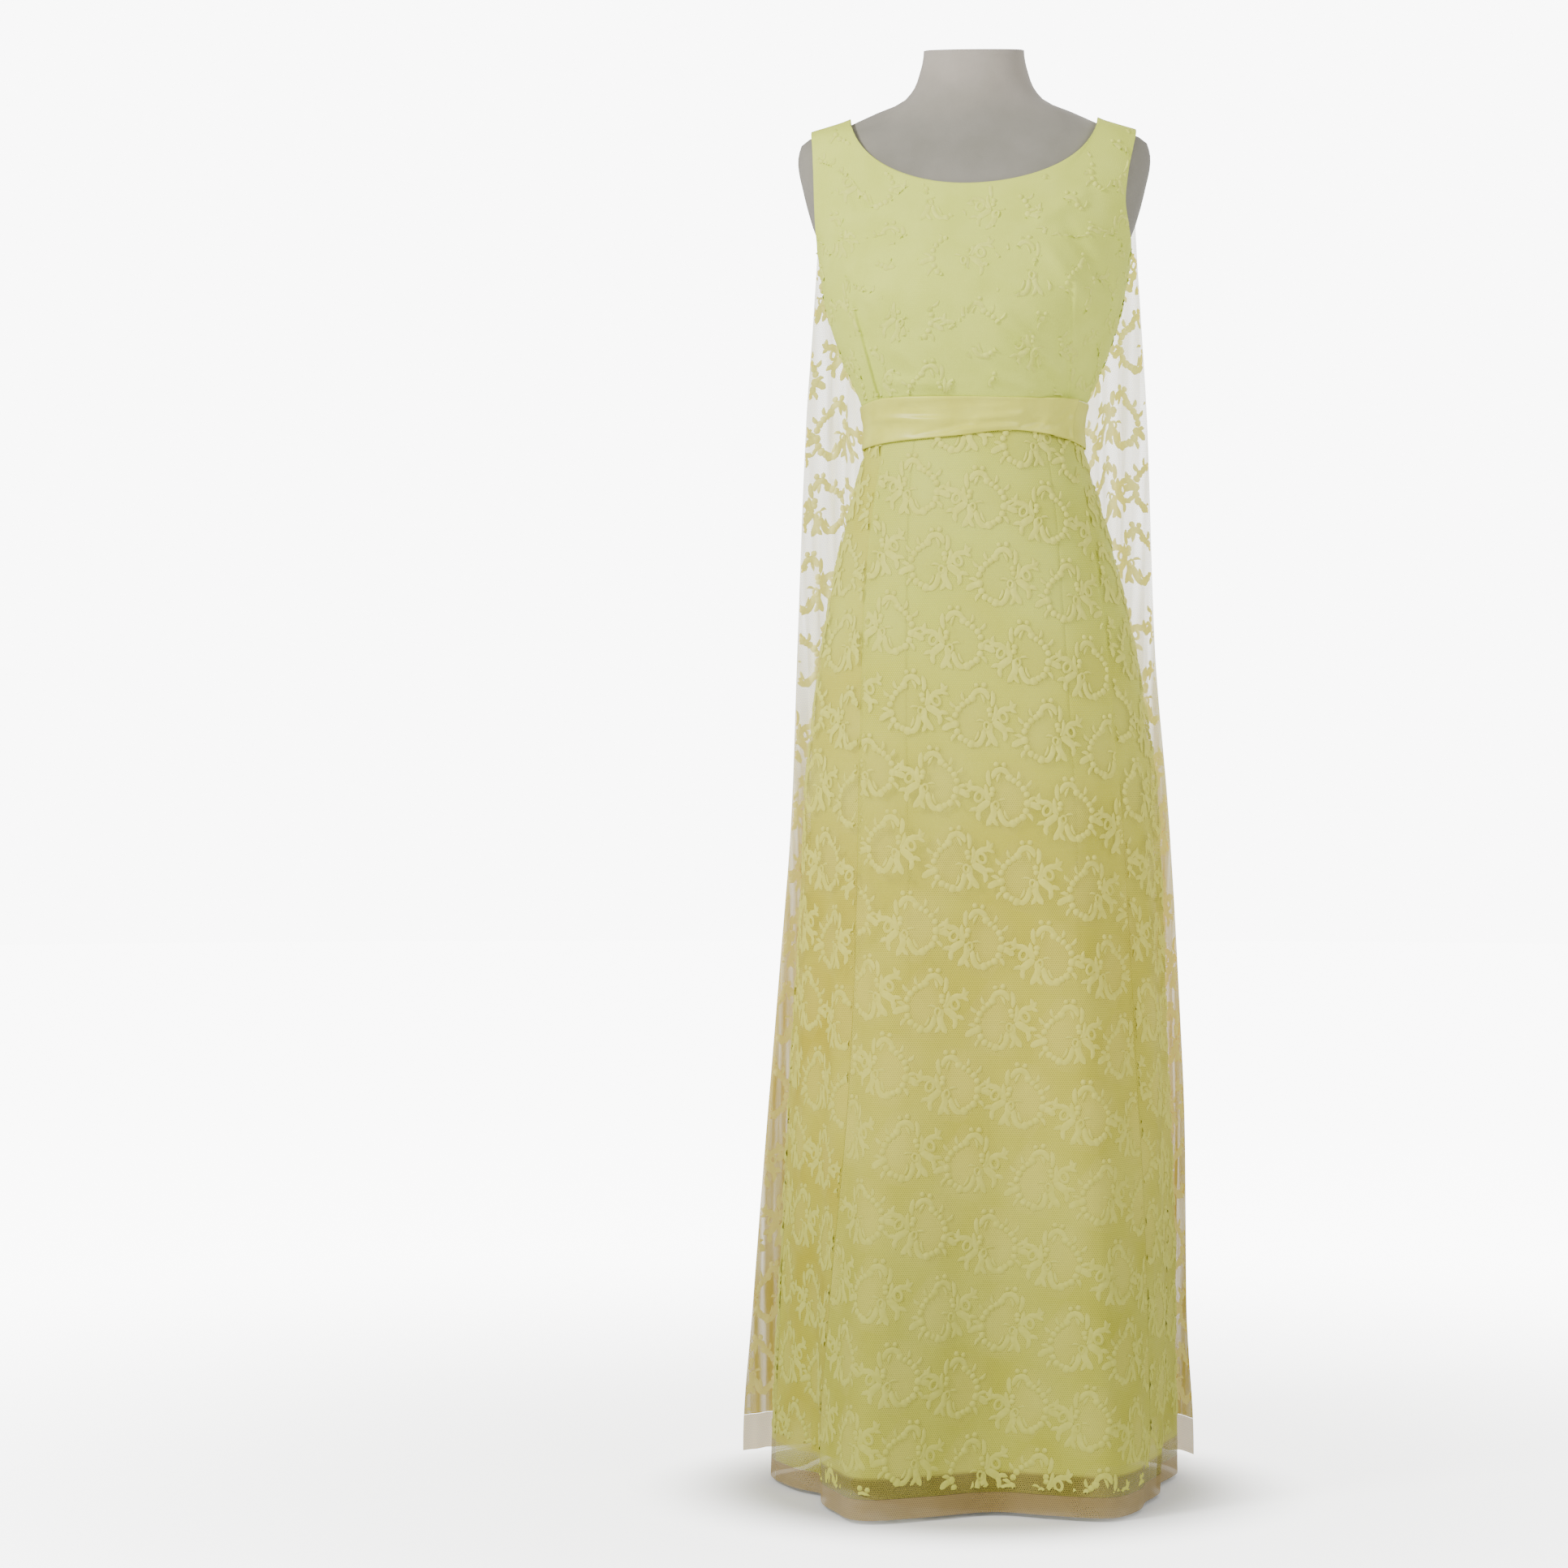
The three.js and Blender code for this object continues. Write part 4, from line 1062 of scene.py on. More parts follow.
def joined_parts(parts: Sequence[Mesh]) -> Mesh:
    """Several meshes of points and triangles as one."""
    start, points, faces = 0, [], []
    for own_points, own_faces in parts:
        points.append(own_points)
        faces.append(own_faces + start)
        start += len(own_points)
    return np.concatenate(points), np.concatenate(faces)


@dataclass(frozen=True)
class Leaf:
    """A corded leaf or stem: a raised band with round ends along a bent line."""

    path: tuple[tuple[float, float], ...]
    width: float
    height: float = 1.0
    step: float = 3.2

    def mesh(self) -> Mesh:
        """The leaf's mesh."""
        line = np.array(self.path, float)
        for _ in range(2):
            quarter = mix(line[:-1], line[1:], 0.25)
            rest = mix(line[:-1], line[1:], 0.75)
            inner = np.stack([quarter, rest], axis=1).reshape(-1, 2)
            line = np.concatenate([line[:1], inner[1:-1], line[-1:]])
        length = np.concatenate([[0], np.cumsum(np.linalg.norm(np.diff(line, axis=0), axis=1))])
        count = max(3, round(length[-1] / self.step)) + 1
        share = np.linspace(0, 1, count)
        x, y = (np.interp(share * length[-1], length, line[:, k]) for k in (0, 1))
        dx, dy = np.gradient(x), np.gradient(y)
        size = np.hypot(dx, dy)
        nx, ny = -dy / size, dx / size
        half = self.width / 2 * np.sqrt(np.maximum(0.06, 1 - (2 * share - 1) ** 4))
        low, high = np.full(count, FOOT_HEIGHT), self.height * mix(0.6, 1.0, np.sin(np.pi * share))
        rows = [
            (x + nx * half, y + ny * half, low), (x, y, high), (x - nx * half, y - ny * half, low),
        ]
        points = np.concatenate([np.stack(row, axis=1) for row in rows])
        return points, triangles(grid_faces(3, count))


def oval_ring(
    middle: tuple[float, float], size: tuple[float, float], height: float, sides: int, lean: float
) -> Array:
    """Points round a level oval.

    Args:
        middle: its middle.
        size: its half width and half height.
        height: how high it lies.
        sides: how many points it has.
        lean: how far it is turned, degrees.

    Returns:
        The points, one to a row.
    """
    turn = np.linspace(0, 2 * np.pi, sides, endpoint=False)
    x, y = size[0] * np.cos(turn), size[1] * np.sin(turn)
    cosine, sine = math.cos(math.radians(lean)), math.sin(math.radians(lean))
    level = np.full(sides, height)
    across, up = x * cosine - y * sine, x * sine + y * cosine
    return np.stack([middle[0] + across, middle[1] + up, level], axis=1)


def ring_quads(sides: int, start: int = 0) -> Array:
    """The quads between a ring of points and the next ring."""
    k = np.arange(sides) + start
    after = np.roll(k, -1)
    return np.stack([k, after, after + sides, k + sides], axis=1)


@dataclass(frozen=True)
class Bud:
    """A round padded dot."""

    x: float
    y: float
    radius: float
    height: float = 1.25
    sides: int = 7

    def mesh(self) -> Mesh:
        """The bud's mesh."""
        rings = [
            oval_ring((self.x, self.y), (self.radius * share,) * 2, high, self.sides, 0.0)
            for share, high in ((1.0, FOOT_HEIGHT), (0.62, 0.8 * self.height))
        ]
        points = np.concatenate([*rings, [[self.x, self.y, self.height]]])
        crown = ring_quads(self.sides, self.sides)[:, :3]
        crown[:, 2] = 2 * self.sides
        return points, np.concatenate([triangles(ring_quads(self.sides)), crown])


@dataclass(frozen=True)
class Loop:
    """An oval eye: a raised cord round a hole."""

    x: float
    y: float
    across: float
    along: float
    turn: float
    cord: float
    height: float = 1.1
    sides: int = 12

    def mesh(self) -> Mesh:
        """The loop's mesh."""
        rings = []
        for grow, high in ((0.5, FOOT_HEIGHT), (0, self.height), (-0.5, FOOT_HEIGHT)):
            size = (self.across + grow * self.cord, self.along + grow * self.cord)
            rings.append(oval_ring((self.x, self.y), size, high, self.sides, self.turn))
        bands = np.concatenate([ring_quads(self.sides, start) for start in (0, self.sides)])
        return np.concatenate(rings), triangles(np.roll(bands, -1, axis=1))


@dataclass(frozen=True)
class Wreath:
    """The lace's repeat: an oval wreath of buds between two crescents, with a forked sprig.

    It is charted about the middle of the repeat, at the real size, with the sprig to the
    right. Every other row is turned over from left to right.
    """

    across: tuple[float, float] = (67.0, 15.0)  # to the next wreath in a row: right, down
    below: tuple[float, float] = (-47.0, 63.0)  # to the next row
    ring_x: float = -8.3  # the oval's middle
    ring_size: tuple[float, float] = (16.5, 25.0)  # the oval's half width and half height
    leaves: tuple[Leaf, ...] = (
        Leaf(((1, 19), (3, 25), (9.5, 28), (15.5, 25), (17.8, 18)), 5.0, 1.3),
        Leaf(((9.5, 24), (12.5, 20), (13.4, 14.5)), 2.6),
        Leaf(((21, 27.5), (22.4, 19), (20.6, 11)), 4.0),
        Leaf(((0.5, -26), (6, -28), (10.6, -23.5), (13, -16.5), (13, -11)), 5.0, 1.3),
        Leaf(((4, -23), (7.5, -18), (8.2, -12.5)), 2.4),
        Leaf(((-15, -8), (-21, -8.6), (-28, -13.5)), 5.6),
        Leaf(((-16, -6), (-20, -2), (-25, -2.2)), 3.4),
        Leaf(((21, -3), (24.8, 4), (25, 13.5)), 3.6),
        Leaf(((23, -3), (31, 10), (38, 9), (45, 15)), 4.8),
        Leaf(((38, 9.5), (41, 13), (39, 19)), 3.6),
        Leaf(((38, 8.5), (42, 8), (45.5, 5.5)), 3.0),
        Leaf(((21.5, -3.5), (28, -7), (36, -14)), 6.4),
        Leaf(((33, -11), (37.5, -10), (43, -13)), 3.8),
        Leaf(((31.5, -12), (35, -16), (33, -23)), 4.2),
        Leaf(((20.5, -5), (17.6, -14), (21.5, -21), (26.5, -28)), 5.6),
        Leaf(((20.5, -17), (19.5, -23), (15, -28.5)), 3.8),
        Leaf(((-6, 16), (-9, 20), (-8.5, 25)), 3.0),
        Leaf(((-14, 9), (-19, 11.5), (-20.5, 16)), 3.2),
        Leaf(((-13, -17), (-18, -20), (-19, -25)), 3.2),
        Leaf(((14.5, -4), (9, -1.5), (5.5, -3.5)), 2.2),
    )
    buds: tuple[Bud, ...] = (
        Bud(1.2, 19.0, 3.6),
        Bud(5.3, 32.0, 2.3),
        Bud(13.0, 32.6, 2.5),
        Bud(-3.2, 15.6, 2.9),
        Bud(-7.9, 12.2, 2.9),
        Bud(-12.2, 7.4, 3.1),
        Bud(-14.9, 1.6, 2.9),
        Bud(-15.0, -7.4, 3.6),
        Bud(-12.9, -14.8, 3.1),
        Bud(-9.2, -20.8, 3.3),
        Bud(-4.2, -23.6, 3.0),
        Bud(0.6, -26.4, 3.8),
        Bud(18.6, 7.6, 2.8),
        Bud(19.4, 3.0, 2.6),
    )
    loops: tuple[Loop, ...] = (
        Loop(16.2, -8.0, 2.8, 3.9, 8, 2.6),
        Loop(32.2, 1.2, 3.8, 5.0, 25, 3.2),
    )

    def chart(self, fuller: float = 1.0) -> Mesh:
        """The whole repeat's mesh, its leaves and buds made fuller by a factor."""
        leaves = [replace(leaf, width=leaf.width * fuller) for leaf in self.leaves]
        buds = [replace(bud, radius=bud.radius * fuller) for bud in self.buds]
        points, faces = joined_parts([mark.mesh() for mark in (*leaves, *buds, *self.loops)])
        return points + [self.ring_x, 0, 0], faces


WREATH = Wreath()


@dataclass
class Embroidery:
    """The wreaths on one sheet, in slanting rows, every other one turned over."""

    sheet: Sheet
    margin: float = 1.2  # kept free along the sheet's edges
    foot: float = 0.0  # kept free at its foot
    start: tuple[float, float] = (0.0, 30.0)
    within: Callable[[Array, Array], Array] | None = None
    rise: tuple[float, float] = (1.0, 1.0)  # its padding at the sheet's top and foot
    fuller: float = 1.0
    reach: float = 46.0  # how far a wreath's marks lie from its middle at most

    def centres(self) -> Array:
        """The wreaths' places and their turns and mirrorings, one row each."""
        found = []
        width, length = self.sheet.width / 2 + self.reach, self.sheet.length + self.reach
        count = int(max(width, length) / 30) + 4
        for row in range(-count, count):
            for column in range(-count, count):
                u, v = (
                    self.start[k] + column * WREATH.across[k] + row * WREATH.below[k]
                    for k in (0, 1)
                )
                half = float(self.sheet.half_width(np.clip(v, 0, self.sheet.length)))
                if abs(u) < half + self.reach and -self.reach < v < length:
                    wander = math.sin(12.9 * row + 78.2 * column)
                    found.append((u + 1.5 * wander, v + 1.2 * wander, 7 * wander, row % 2))
        return np.array(found)

    def mesh(self) -> tuple[Array, Array, Array]:
        """The embroidery's points, triangles and flat coordinates."""
        points, faces = WREATH.chart(self.fuller)
        centres = self.centres()
        turn = np.radians(centres[:, 2])[:, None]
        way = np.where(centres[:, 3] > 0, -1.0, 1.0)[:, None]
        x, y = points[:, 0][None] * way, points[:, 1][None]
        u = centres[:, 0][:, None] + x * np.cos(turn) - y * np.sin(turn)
        v = centres[:, 1][:, None] - (x * np.sin(turn) + y * np.cos(turn))
        lift = points[:, 2][None] * mix(*self.rise, np.clip(v / self.sheet.length, 0, 1))
        inside = (np.abs(u) < self.sheet.half_width(v) - self.margin) & (v > self.margin)
        inside &= v < self.sheet.length - self.margin - self.foot
        if self.within is not None:
            inside &= self.within(u, v)
        all_faces = []
        for k in range(len(centres)):
            own = faces if way[k, 0] > 0 else faces[:, ::-1]
            all_faces.append(own[inside[k][own].all(axis=1)] + k * len(points))
        chosen = np.concatenate(all_faces)
        used, index = np.unique(chosen, return_inverse=True)
        flat = np.stack([u.ravel()[used], -v.ravel()[used]], axis=1)
        placed = self.sheet.place(flat[:, 0], -flat[:, 1], lift.ravel()[used])
        return placed, index.reshape(-1, 3), flat

    def make(self, name: str, finish: Finish) -> Object:
        """The embroidery as one piece."""
        points, faces, flat = self.mesh()
        return make_piece(name, points, faces, finish, flat)


# ---------------------------------------------------------------- sub-assemblies


@dataclass
class DressForm:
    """The limbless padded torso, its pole and its base."""

    columns: int = 108
    rows: int = 110
    rounding: float = 1.2
    lean: float = 7.0  # how much lower the neck's cap is in front
    caps: tuple[float, ...] = (0.96, 0.6, 0.02)  # rings that close the neck and the foot

    def build(self) -> None:
        """Makes the torso's cover and gives the stand its enamel."""
        low, high = FIGURE["z"][0], FIGURE["z"][-1]
        z = np.linspace(high, low, self.rows)
        turn = np.linspace(0, 2 * np.pi, self.columns, endpoint=False)
        side, front, back, power = (part[:, None] for part in FORM.section(z, 0.0))
        sine, cosine = np.sin(turn)[None], np.cos(turn)[None]
        x = side * np.sign(sine) * np.abs(sine) ** (2 / power)
        y = np.where(cosine > 0, -front, back) * np.abs(cosine) ** (2 / power)
        body = joined(x, y, z[:, None])
        neck = [body[0] * [share, share, 1] for share in reversed(self.caps)]
        foot = [body[-1] * [share, share, 1] for share in self.caps]
        rows = np.concatenate([neck, body, foot])
        rows[3, :, 2] -= self.rounding / 2
        rows[-4, :, 2] += self.rounding / 2
        ahead = np.clip(-rows[..., 1] / FIGURE["front"][-1], 0, 1)
        rows[..., 2] -= self.lean * ahead * smooth(high - 24, high - 2, rows[..., 2])
        row, column = np.divmod(grid_faces(len(rows), self.columns + 1), self.columns + 1)
        faces = row * self.columns + column % self.columns
        piece = make_piece("form_cover", rows.reshape(-1, 3), faces, FORM_JERSEY)
        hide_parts("form_torso")
        for name in ("stand_pole", "stand_base"):
            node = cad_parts[name]
            node.data.materials.clear()
            node.data.materials.append(STAND_ENAMEL.material())


@dataclass
class Bodice:
    """The bodice: a front with two waist darts, and two back halves that meet at the centre."""

    neck_low: float = 1313.0
    neck_dip_x: float = -8.0
    neck_corner: float = 1386.0
    neck_half_width: float = 125.0
    back_neck_low: float = 1346.0
    columns: int = 100  # across half of it
    lower_rows: int = 48
    upper_rows: int = 40
    neck_turns: tuple[float, ...] = (0, 17, 33, 48, 61, 72, 80, 85.5, 88.7)
    strap_columns: int = 5
    left_dart: tuple[float, ...] = (-119, 1196, -92, 1098)
    right_dart: tuple[float, ...] = (96, 1212, 93, 1098)
    dart_depth: float = 2.6
    dart_width: float = 2.2
    ridge_width: float = 2.6
    ridge_out: float = 5.0  # how far outside its dart a ridge runs
    hollow_width: float = 9.0
    right_share: float = 0.5  # how much of the left dart the right one shows
    deepest: float = -2.4
    fold_gain: float = 2.3
    firm_edge: float = 25.0  # below the neckline, where no fold reaches
    centre_gap: float = 0.0015  # the share of a back half left free at the centre
    stitched_top: float = 1382.0  # where the embroidery's neckline starts at the strap

    def offset(self, z: Array, layer: float) -> Array:
        """How far a layer of the cloth stands off the figure, 0 inside and 1 outside."""
        return FORM.ease(z) + layer * BODICE_WALL

    def neck_dip(self, facing: Facing) -> tuple[float, float]:
        """The neckline's lowest place, as x and z."""
        front = facing is Facing.FRONT
        return (self.neck_dip_x, self.neck_low) if front else (0.0, self.back_neck_low)

    def relief(self, x: Array, z: Array, facing: Facing) -> Array:
        """How far the cloth rises or sinks: darts, drag folds and the slack over the belt."""
        above = z - WAIST_SEAM
        by_seam = smooth(0, 0.08, 1 - np.abs(x) / FORM.section(z, self.offset(z, 1.0))[0])
        if facing is Facing.BACK:
            slack = 0.6 * bump(above, 34, 9) * np.sin(x / 17 + 1.2)
            return by_seam * (self.fold_gain * fold_heights(BACK_FOLDS, x, z) + slack)

        def both(out: float, width: float, share: float) -> Array:
            """Hills along both darts, the right one's a share of the left one's."""
            left = soft_line(x + out, z, self.left_dart, width)
            return left + share * soft_line(x - out, z, self.right_dart, width)

        darts = both(0.0, self.dart_width, self.right_share)
        ridge = both(self.ridge_out, self.ridge_width, 0.8 * self.right_share)
        hollow = both(0.0, self.hollow_width, 1.0)
        pucker = 1.6 * bump(x, self.left_dart[0], 4) * bump(z, self.left_dart[1] + 4, 4)
        slack = 0.9 * bump(above, 30, 10) * (1 + np.sin(x / 13 + 0.7)) / 2
        drape = 0.6 * np.sin(x / 31 + 0.4) * np.sin(z / 41)
        folds = self.fold_gain * fold_heights(BODICE_FOLDS, x, z)
        sewn = 1.8 * ridge - self.dart_depth * darts - 0.7 * hollow
        return by_seam * np.maximum(folds + slack + drape + pucker + sewn, self.deepest)

    def top_of(
        self, turn: Array, strap: Array, side: Side, offset: float, facing: Facing
    ) -> tuple[Array, Array]:
        """Where a column ends: on the neckline, or on the shoulder's ridge.

        Args:
            turn: the column's turn along the neckline, 90 degrees at the strap.
            strap: its share of the way across the strap.
            side: which half it is in.
            offset: how far its layer stands off the figure there.
            facing: front or back.

        Returns:
            Its x and z.
        """
        dip_x, dip_z = self.neck_dip(facing)
        angle = np.radians(turn)
        corner = float(FORM.ridge(self.neck_half_width, offset))
        neck_x = mix(dip_x, side.value * self.neck_half_width, np.sin(angle))
        neck_z = mix(corner, dip_z, np.cos(angle))
        outer = float(curve(ARMHOLE, side.name.lower(), self.neck_corner))
        strap_x = side.value * mix(self.neck_half_width, outer, strap)
        on_neck = turn < 90
        shoulder = FORM.ridge(strap_x, offset)
        return np.where(on_neck, neck_x, strap_x), np.where(on_neck, neck_z, shoulder)

    def half_width(self, z: Array, offset: Array, side: Side) -> Array:
        """Half width at a height: the side seam, and above it the armhole's edge."""
        seam = FORM.section(z, offset)[0]
        edge = np.minimum(seam, curve(ARMHOLE, side.name.lower(), z))
        return np.where(z <= UNDERARM, seam, edge)

    def half(self, side: Side, facing: Facing, layer: float) -> Grid:
        """One half of a layer of the cloth, its rows from the top and columns from the middle."""
        last = len(self.neck_turns) + self.strap_columns
        at = np.linspace(0, last, self.columns)
        turn = np.interp(at, np.arange(len(self.neck_turns) + 1), [*self.neck_turns, 90.0])
        turn = np.where(at >= len(self.neck_turns), 90.0, turn)
        strap = np.maximum(0, at - len(self.neck_turns)) / self.strap_columns
        share = np.sin(np.radians(90 * at / last)) ** 0.85
        if facing is Facing.BACK:
            share = np.maximum(share, self.centre_gap)
            turn = np.maximum(turn, 0.1)
        top_offset = float(self.offset(self.neck_corner, layer))
        top_x, top_z = self.top_of(turn, strap, side, top_offset, facing)
        lowest = WAIST_SEAM + SEAM_GAP / 2
        up_lower = np.linspace(0, 1, self.lower_rows, endpoint=False)[:, None]
        up_upper = np.linspace(0, 1, self.upper_rows)[:, None]
        crowded = smooth(20, 80, turn)[None]
        eased = mix(up_upper, 1 - (1 - up_upper) ** 1.7, crowded)
        lower_z = np.broadcast_to(mix(lowest, UNDERARM, up_lower), (self.lower_rows, self.columns))
        upper_z = mix(UNDERARM, top_z[None], eased)
        top_share = top_x / self.half_width(top_z, self.offset(top_z, layer), side)
        own = side.value * share[None]
        lower_share = np.broadcast_to(own, lower_z.shape)
        upper_share = mix(own, top_share[None], smooth(0, 1, up_upper))
        z = np.concatenate([lower_z, upper_z])[::-1]
        across = np.concatenate([lower_share, upper_share])[::-1]
        offset = self.offset(z, layer)
        x = across * self.half_width(z, offset, side)
        raised = self.relief(x, z, facing) * smooth(0, self.firm_edge, top_z[None] - z)
        y = FORM.depth(x, z, offset + raised * mix(0.75, 1, layer), facing)
        return joined(x, y, z)

    def sheets(self, facing: Facing) -> list[tuple[Sheet, Grid]]:
        """The outer sheet and inner grid of each piece that faces a way."""
        layers = {}
        for layer in (1.0, 0.0):
            left, right = (self.half(side, facing, layer) for side in (Side.LEFT, Side.RIGHT))
            if facing is Facing.FRONT:
                layers[layer] = [np.concatenate([left[:, ::-1], right[:, 1:]], axis=1)]
            else:
                layers[layer] = [left, right[:, ::-1]]
        return [(Sheet(outer), inner) for outer, inner in zip(layers[1.0], layers[0.0])]

    def ground(self, facing: Facing, side: Side | None) -> Sheet:
        """Level rows over the bodice, evenly spaced along the cloth, for the embroidery."""
        z = np.linspace(self.neck_corner - 8, WAIST_SEAM + 24, 90)[:, None]
        offset = self.offset(z, 1.0)
        left, right = (self.half_width(z, offset, half) for half in Side)
        if side is None:
            share = np.linspace(-1, 1, 200)
        else:
            share = side.value * np.linspace(0.004, 1, 120)[:: -side.value]
        x = share * np.minimum(left, right)
        y = FORM.depth(x, z, offset + self.relief(x, z, facing), facing)
        return Sheet(even_columns(joined(x, y, z), x.shape[1]))

    def below_neck(self, sheet: Sheet, facing: Facing) -> Callable:
        """A test of which flat places lie on the cloth, clear of the neckline."""

        def test(u: Array, v: Array) -> Array:
            """Whether a mark is kept there: below the neckline, and not in a worn place."""
            place = sheet.place(u, v, np.zeros_like(u))
            dip_x, dip_z = self.neck_dip(facing)
            apart = place[..., 0] - dip_x
            reach = self.neck_half_width + np.where(apart < 0, dip_x, -dip_x)
            share = np.clip(np.abs(apart) / reach, 0, 1)
            neck = mix(self.stitched_top, dip_z, np.sqrt(1 - share**2))
            worn = np.sin(u / 8 + 0.9 * np.sin(v / 13)) + np.sin(v / 9 + u / 33 + 2)
            return (place[..., 2] < neck - 4) & (worn > -0.1)

        return test

    def build(self) -> None:
        """Makes the three pieces, each with its embroidery."""
        front = self.sheets(Facing.FRONT)[0]
        backs = self.sheets(Facing.BACK)
        parts = [
            ("bodice_front", front, Facing.FRONT, None),
            ("bodice_back_left", backs[0], Facing.BACK, Side.LEFT),
            ("bodice_back_right", backs[1], Facing.BACK, Side.RIGHT),
        ]
        for node, (outer, inner), facing, side in parts:
            piece = make_shell(f"{node}_cloth", outer, inner, BODICE_CLOTH)
            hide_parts(node)
            ground = self.ground(facing, side)
            test = self.below_neck(ground, facing)
            work = Embroidery(ground, start=(10.0, 24.0), within=test, rise=(1.5, 1.5))
            wreaths = work.make(f"{node}_wreaths", BODICE_THREAD)


class Gore(Enum):
    """The skirt's gores in order round it from the centre back."""

    BACK_LEFT = 0
    SIDE_LEFT = 1
    FRONT = 2
    SIDE_RIGHT = 3
    BACK_RIGHT = 4


class Layer(Enum):
    """The skirt's two layers, by the share of the front gore that is left to the side gores."""

    LACE = 0.0
    LINING = 1 / 6


def gore_angles(first: Gore, last: Gore, z: Array, columns: int, layer: Layer) -> Array:
    """Angles across one or more gores at each height.

    Args:
        first: the first gore.
        last: the last one, going round from the left.
        z: the heights.
        columns: how many columns.
        layer: the lining, whose front gore is narrower, or the lace.

    Returns:
        An angle for each height and column, degrees from the front.
    """
    left, right = curve(FRONT_SEAMS, "left", z), curve(FRONT_SEAMS, "right", z)
    side = np.full(z.shape, SIDE_SEAM_ANGLE)
    back = np.full(z.shape, 180.0)
    seams = [-back, -side, mix(left, right, layer.value), mix(right, left, layer.value), side, back]
    start, end = seams[first.value], seams[last.value + 1]
    half = np.degrees(SEAM_GAP / 2 / SKIRT_FORM.lining_inner(start, z))
    share = np.linspace(0, 1, columns)[None]
    return mix((start + half)[:, None], (end - half)[:, None], share)


@dataclass
class Skirt:
    """The opaque lining and the five lace gores over it, with their plain net hem."""

    row_step: float = 4.2
    column_step: float = 4.2
    seam_ridge: float = 0.7
    lining_columns: int = 48
    fold_gain: float = 1.7
    side_fold: float = 11.0
    side_fold_angle: float = -83.0
    dense: int = 400  # columns before they are spread evenly along the cloth
    mean_radius: float = 190.0  # by which a gore's width is reckoned
    slants: tuple[tuple[float, ...], ...] = (  # angle, height, slant, width, reach and depth
        (0, 470, -1.4, 24, 42, -2.4),
        (6, 522, -1.3, 20, 40, 1.2),
        (10, 300, -1.5, 20, 30, -2.2),
        (-12, 352, -1.2, 18, 30, 1.4),
        (-20, 190, -0.9, 22, 26, -1.8),
        (26, 168, 0.7, 20, 24, 1.4),
        (38, 392, -1.0, 16, 20, -1.4),
        (-140, 480, 1.1, 24, 36, -2.2),
        (-155, 260, 1.4, 22, 30, 1.6),
        (150, 430, -1.2, 22, 36, -2.2),
        (128, 250, -0.9, 20, 28, 1.5),
    )
    starts: tuple[tuple[float, float], ...] = (
        (20, 40), (-12, 70), (17.5, 160), (24, 95), (-30, 55),
    )
    plain_foot: tuple[float, ...] = (24, 26, 2, 24, 24)
    # the left side gore's net carries painted fold shade
    nets: dict[Gore, Finish] = field(default_factory=lambda: {Gore.SIDE_LEFT: NET_IN_PAINTED_FOLD_SHADE})

    def relief(self, angle: Array, z: Array) -> Array:
        """Soft troughs and ridges that run down the lace, deeper towards the hem."""
        low = smooth(900, 300, z)
        turn = np.radians(angle)
        ways = 0.9 * np.sin(turn * 11 + z / 260) + 0.6 * np.sin(turn * 23 + z / 170 + 1)
        waist = 0.8 * bump(z, 1030, 22) * np.sin(turn * 14 + 0.6)
        long_folds = np.zeros(np.broadcast(angle, z).shape)
        for middle, spread, depth, top, foot in zip(*LACE_FOLDS.values()):
            fade = smooth(top, top - 160, z) * smooth(foot - 90, foot + 60, z)
            long_folds = long_folds + self.fold_gain * depth * bump(angle, middle, spread) * fade
        return low * ways + waist + long_folds + 0.9 * low

    def seams(self, share: Array, width: float) -> Array:
        """The ridge of the turned seam along both edges of a gore."""
        return self.seam_ridge * bump(np.minimum(share, 1 - share) * width, 0, 3)

    def lace(self, first: Gore, last: Gore, top: float, foot: float) -> Sheet:
        """The sheet of a gore between two heights."""
        rows = max(5, int((top - foot) / self.row_step))
        z = np.linspace(top, foot, rows)
        angle = gore_angles(first, last, z, self.dense, Layer.LACE)
        tall = np.broadcast_to(z[:, None], angle.shape)
        width = math.radians(float(angle[-1, -1] - angle[-1, 0])) * self.mean_radius
        radius = SKIRT_FORM.lace_inner(angle, tall) + SKIRT_FORM.lace_wall(tall) / 2
        share = np.linspace(0, 1, self.dense)[None]
        sink = mix(-0.3, -2.4, smooth(800, 600, tall))
        radius = radius + np.maximum(self.relief(angle, tall), sink) + self.seams(share, width)
        columns = max(8, int(width / self.column_step))
        return Sheet(even_columns(SKIRT_FORM.point(radius, angle, tall), columns))

    def lining(self, gore: Gore) -> tuple[Sheet, Grid]:
        """The lining's outer sheet and inner grid behind a gore."""
        z = np.linspace(WAIST_SEAM - SEAM_GAP / 2, LINING_HEM, 130)
        angle = gore_angles(gore, gore, z, self.lining_columns, Layer.LINING)
        tall = np.broadcast_to(z[:, None], angle.shape)
        radius = SKIRT_FORM.lining_inner(angle, tall) + self.lining_folds(angle, tall)
        outer = SKIRT_FORM.point(radius + LINING_WALL, angle, tall)
        return Sheet(outer), SKIRT_FORM.point(radius, angle, tall)

    def lining_folds(self, angle: Array, z: Array) -> Array:
        """The lining's soft slanting folds, placed one by one."""
        wave = 0.5 * smooth(850, 250, z) * np.sin(np.radians(angle) * 9 + z / 300)
        wave = wave + self.side_fold * bump(angle, self.side_fold_angle, 9) * smooth(680, 420, z)
        for middle, height, slant, width, reach, depth in self.slants:
            level = height + slant * (angle - middle)
            wave = wave + depth * bump(z, level, width) * bump(angle, middle, reach)
        return wave

